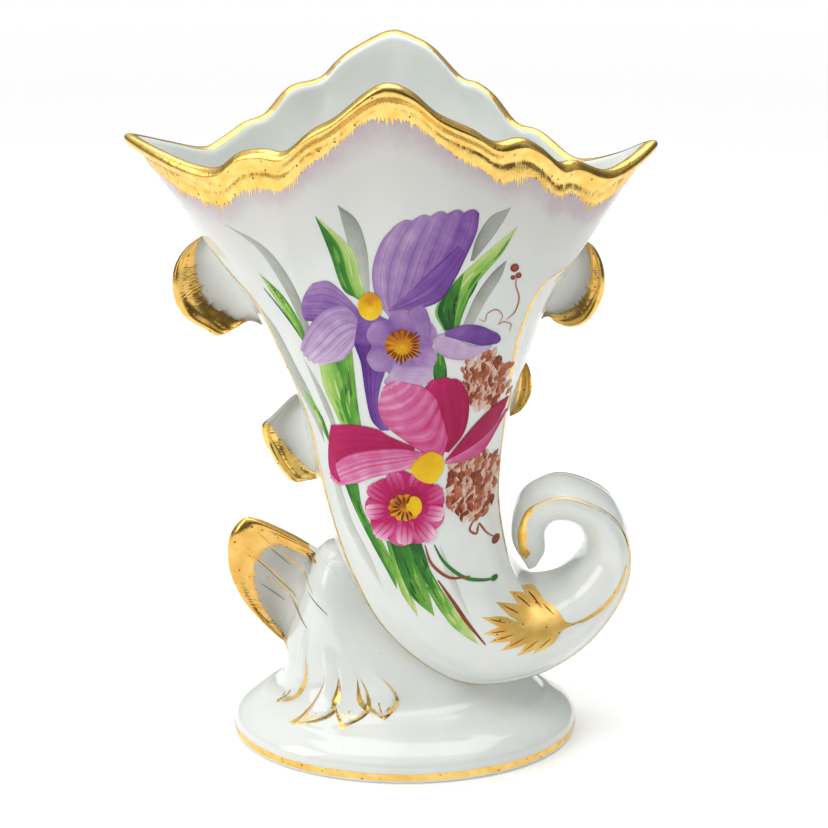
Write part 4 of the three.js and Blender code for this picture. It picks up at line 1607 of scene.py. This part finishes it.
# %% Gold
def gold_finish(name, depth, roughness, metallic=1.0):
    material, spot, put = finish(name, Metallic=metallic, Coat_Weight=0.15, Coat_Roughness=0.1)
    strokes = spot.noise(300, 3)
    thin = spot.noise(900, 2).between(0.62, 0.78)
    # deep is painted shade that browns the gold of some leaves, as a dimmer reflection; thin is
    # where the gold lies thin.
    deep = spot.carried("deep")
    pinholes = spot.dots(420.0, 0.07, 0.16)
    colour = strokes.between(0.3, 0.7).blend(rgb(248, 212, 124), rgb(236, 188, 92))
    colour = (deep + thin * 0.35).blend(colour, rgb(186, 124, 52))
    put("Base Color", (pinholes * 0.75).blend(colour, rgb(92, 58, 24)))
    put("Roughness", roughness + 0.16 * spot.noise(500, 3) + 0.3 * pinholes)
    height = spot.noise(260, 2) + 0.35 * spot.noise(1300, 3) - 0.5 * pinholes
    put("Normal", height.bump(depth))
    return material


rich_gold = gold_finish("rich_gold", 0.1 * mm, 0.12)
line_gold = gold_finish("line_gold", 0.06 * mm, 0.2)
matt_gold = gold_finish("matt_gold", 0.08 * mm, 0.4, 0.75)
for gilded, metal in ((rim_gold, rich_gold), (leaf_gold, rich_gold), (ridge_gold, line_gold),
                      (foot_gold, rich_gold), (tongue_gold, line_gold)):
    gilded.data.materials.append(metal)
    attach(gilded, "root")
painted["acanthus_gold"].data.materials.append(matt_gold)
print("golds", rich_gold.name, line_gold.name, matt_gold.name)

# %% [markdown]
# ## Enamel colours
# Each colour family is one paint, laid thinly or thickly. The tone a sheet carries, plus streaks
# that run along the brush stroke, picks the place in a ramp from the palest wash to full colour.
# A material for each petal would take far longer and look no better.

# %% Enamels: how streaky each is, and its colours from the palest to the deepest
enamels = {
    "grey_leaves": (0.5, [(0, rgb(226, 229, 222)), (0.5, rgb(186, 190, 180)),
                          (1, rgb(132, 136, 124))]),
    "green_leaves": (0.6, [(0, rgb(206, 222, 146)), (0.3, rgb(146, 196, 84)),
                           (0.62, rgb(72, 146, 46)), (1, rgb(24, 84, 34))]),
    "violet_petals": (0.35, [(0, rgb(216, 194, 220)), (0.35, rgb(166, 130, 184)),
                             (0.68, rgb(124, 78, 160)), (1, rgb(82, 36, 130))]),
    "pink_petals": (0.4, [(0, rgb(246, 202, 222)), (0.35, rgb(214, 108, 160)),
                          (0.65, rgb(192, 24, 100)), (1, rgb(162, 0, 70))]),
    "yellow_centres": (0.3, [(0, rgb(252, 220, 50)), (0.45, rgb(234, 180, 0)),
                             (0.75, rgb(196, 110, 0)), (1, rgb(104, 44, 6))]),
    "rust_blossoms": (0.4, [(0, rgb(236, 208, 188)), (0.5, rgb(188, 106, 70)),
                            (1, rgb(124, 48, 22))]),
}
print("enamels", sorted(enamels))


# %% The enamels' recipe
def enamel_finish(name, streak, stops):
    material, spot, put = finish(name, IOR=1.45, Specular_IOR_Level=0.2, Coat_Weight=0.08,
                                 Coat_Roughness=0.06)
    tone = spot.carried("tone")
    along = spot.node("ShaderNodeUVMap", {"uv_map": "UVMap"})
    stroke_way = spot.node("ShaderNodeMapping", {}, {"Vector": along, "Scale": (9.0, 0.9, 1.0)})
    streaks = stroke_way.noise(1.8, 4, 0.62)
    wash = spot.noise(260, 2)
    shade = tone + streak * (streaks - 0.5) + 0.35 * (wash - 0.5)
    colour = shade.node("ShaderNodeValToRGB", {"stops": stops}, {"Fac": shade})
    put("Base Color", colour)
    put("Roughness", 0.12 + 0.12 * wash)
    put("Normal", (streaks + 0.5 * wash).bump(0.03 * mm))
    return material


for family, (streak, stops) in enamels.items():
    painted[family].data.materials.append(enamel_finish(family, streak, stops))
print("materials so far", len(bpy.data.materials))

# %% [markdown]
# ## The floor
# A pale table that fades into a white room. A curved backdrop would do it too, but it hides the
# vase from other sides, so the table is a disc that turns clear towards its edge.

# %% Floor
floor_reach = 1.3
bpy.ops.object.select_all(action="DESELECT")
bpy.ops.mesh.primitive_circle_add(vertices=96, radius=floor_reach, fill_type="NGON")
floor = bpy.context.object
floor.name = "floor"
material, spot, put = finish("pale_floor", Roughness=0.55, Emission_Strength=0.12,
                             Emission_Color=(1.0, 1.0, 1.0))
grain = spot.noise(12, 2)
put("Base Color", grain.blend(rgb(250, 250, 249), rgb(247, 247, 246)))
far = spot.node("ShaderNodeVectorMath", {"operation": "LENGTH"}, {0: spot}, output=1)
fade = far.between(0.25 * floor_reach, 0.95 * floor_reach)
clear = spot.node("ShaderNodeBsdfTransparent")
tree = material.node_tree
shader = Value(tree, tree.nodes["Principled BSDF"].outputs[0])
mixed = spot.node("ShaderNodeMixShader", {}, {0: fade, 1: shader, 2: clear})
give(tree, tree.nodes["Material Output"].inputs["Surface"], mixed)
floor.data.materials.append(material)
print("floor", 2 * floor_reach, "m across")

# %% [markdown]
# ## The room
# The vase mirrors the room it stands in. Gold only looks like gold when it has something dark to
# mirror as well, so the room is dimmer near the horizon, on the side of the camera and to the
# right. The camera itself sees the room plain white.

# %% Room
world = bpy.data.worlds.new("studio")
bpy.context.scene.world = world
world.use_nodes = True
tree = world.node_tree
background = tree.nodes["Background"]
ways = Value(tree, tree.nodes.new("ShaderNodeTexCoord").outputs["Generated"])
height = ways.node("ShaderNodeSeparateXYZ", {}, {0: ways}, output=2)
back = ways.node("ShaderNodeSeparateXYZ", {}, {0: ways}, output=1)
right = ways.node("ShaderNodeSeparateXYZ", {}, {0: ways}, output=0)
seen = ways.node("ShaderNodeLightPath", output=0)
glow = 0.25 + 0.72 * height.between(0.05, 0.85)
glow = glow * (1 - 0.6 * (0 - back).between(0.1, 0.9) * (1 - height.between(0.3, 0.8)))
glow = glow * (1 - 0.6 * right.between(0.1, 0.95))
give(tree, background.inputs["Color"], (1.0, 1.0, 1.0))
give(tree, background.inputs["Strength"], glow + seen * (1 - glow))
bpy.context.scene.view_settings.view_transform = "Standard"
print("nodes in the room", len(tree.nodes))

# %% [markdown]
# ## The lamps
# One wide soft lamp overhead does most of the work, as a lit ceiling does. A tall one on the left
# gives the long highlight down the horn, and a weak one on the right keeps that side from going
# dull. Wide lamps are used because small ones would leave hard shadows and pinpoint reflections.

# %% Lamps
vase_middle = Vector((0, 0, 0.09))


def softbox(name, place, size, energy):
    bpy.ops.object.light_add(type="AREA", location=place)
    lamp = bpy.context.object
    lamp.name = name
    lamp.data.shape = "RECTANGLE"
    lamp.data.size, lamp.data.size_y = size
    lamp.data.energy = energy
    lamp.rotation_euler = (vase_middle - Vector(place)).to_track_quat("-Z", "Y").to_euler()
    print(name, energy, "W")


softbox("top_light", (0, 0.0, 1.0), (1.2, 1.0), 6.8)
softbox("left_light", (-0.75, -0.4, 0.45), (0.35, 0.7), 1.9)
softbox("right_light", (0.75, -0.3, 0.4), (0.25, 0.6), 0.15)
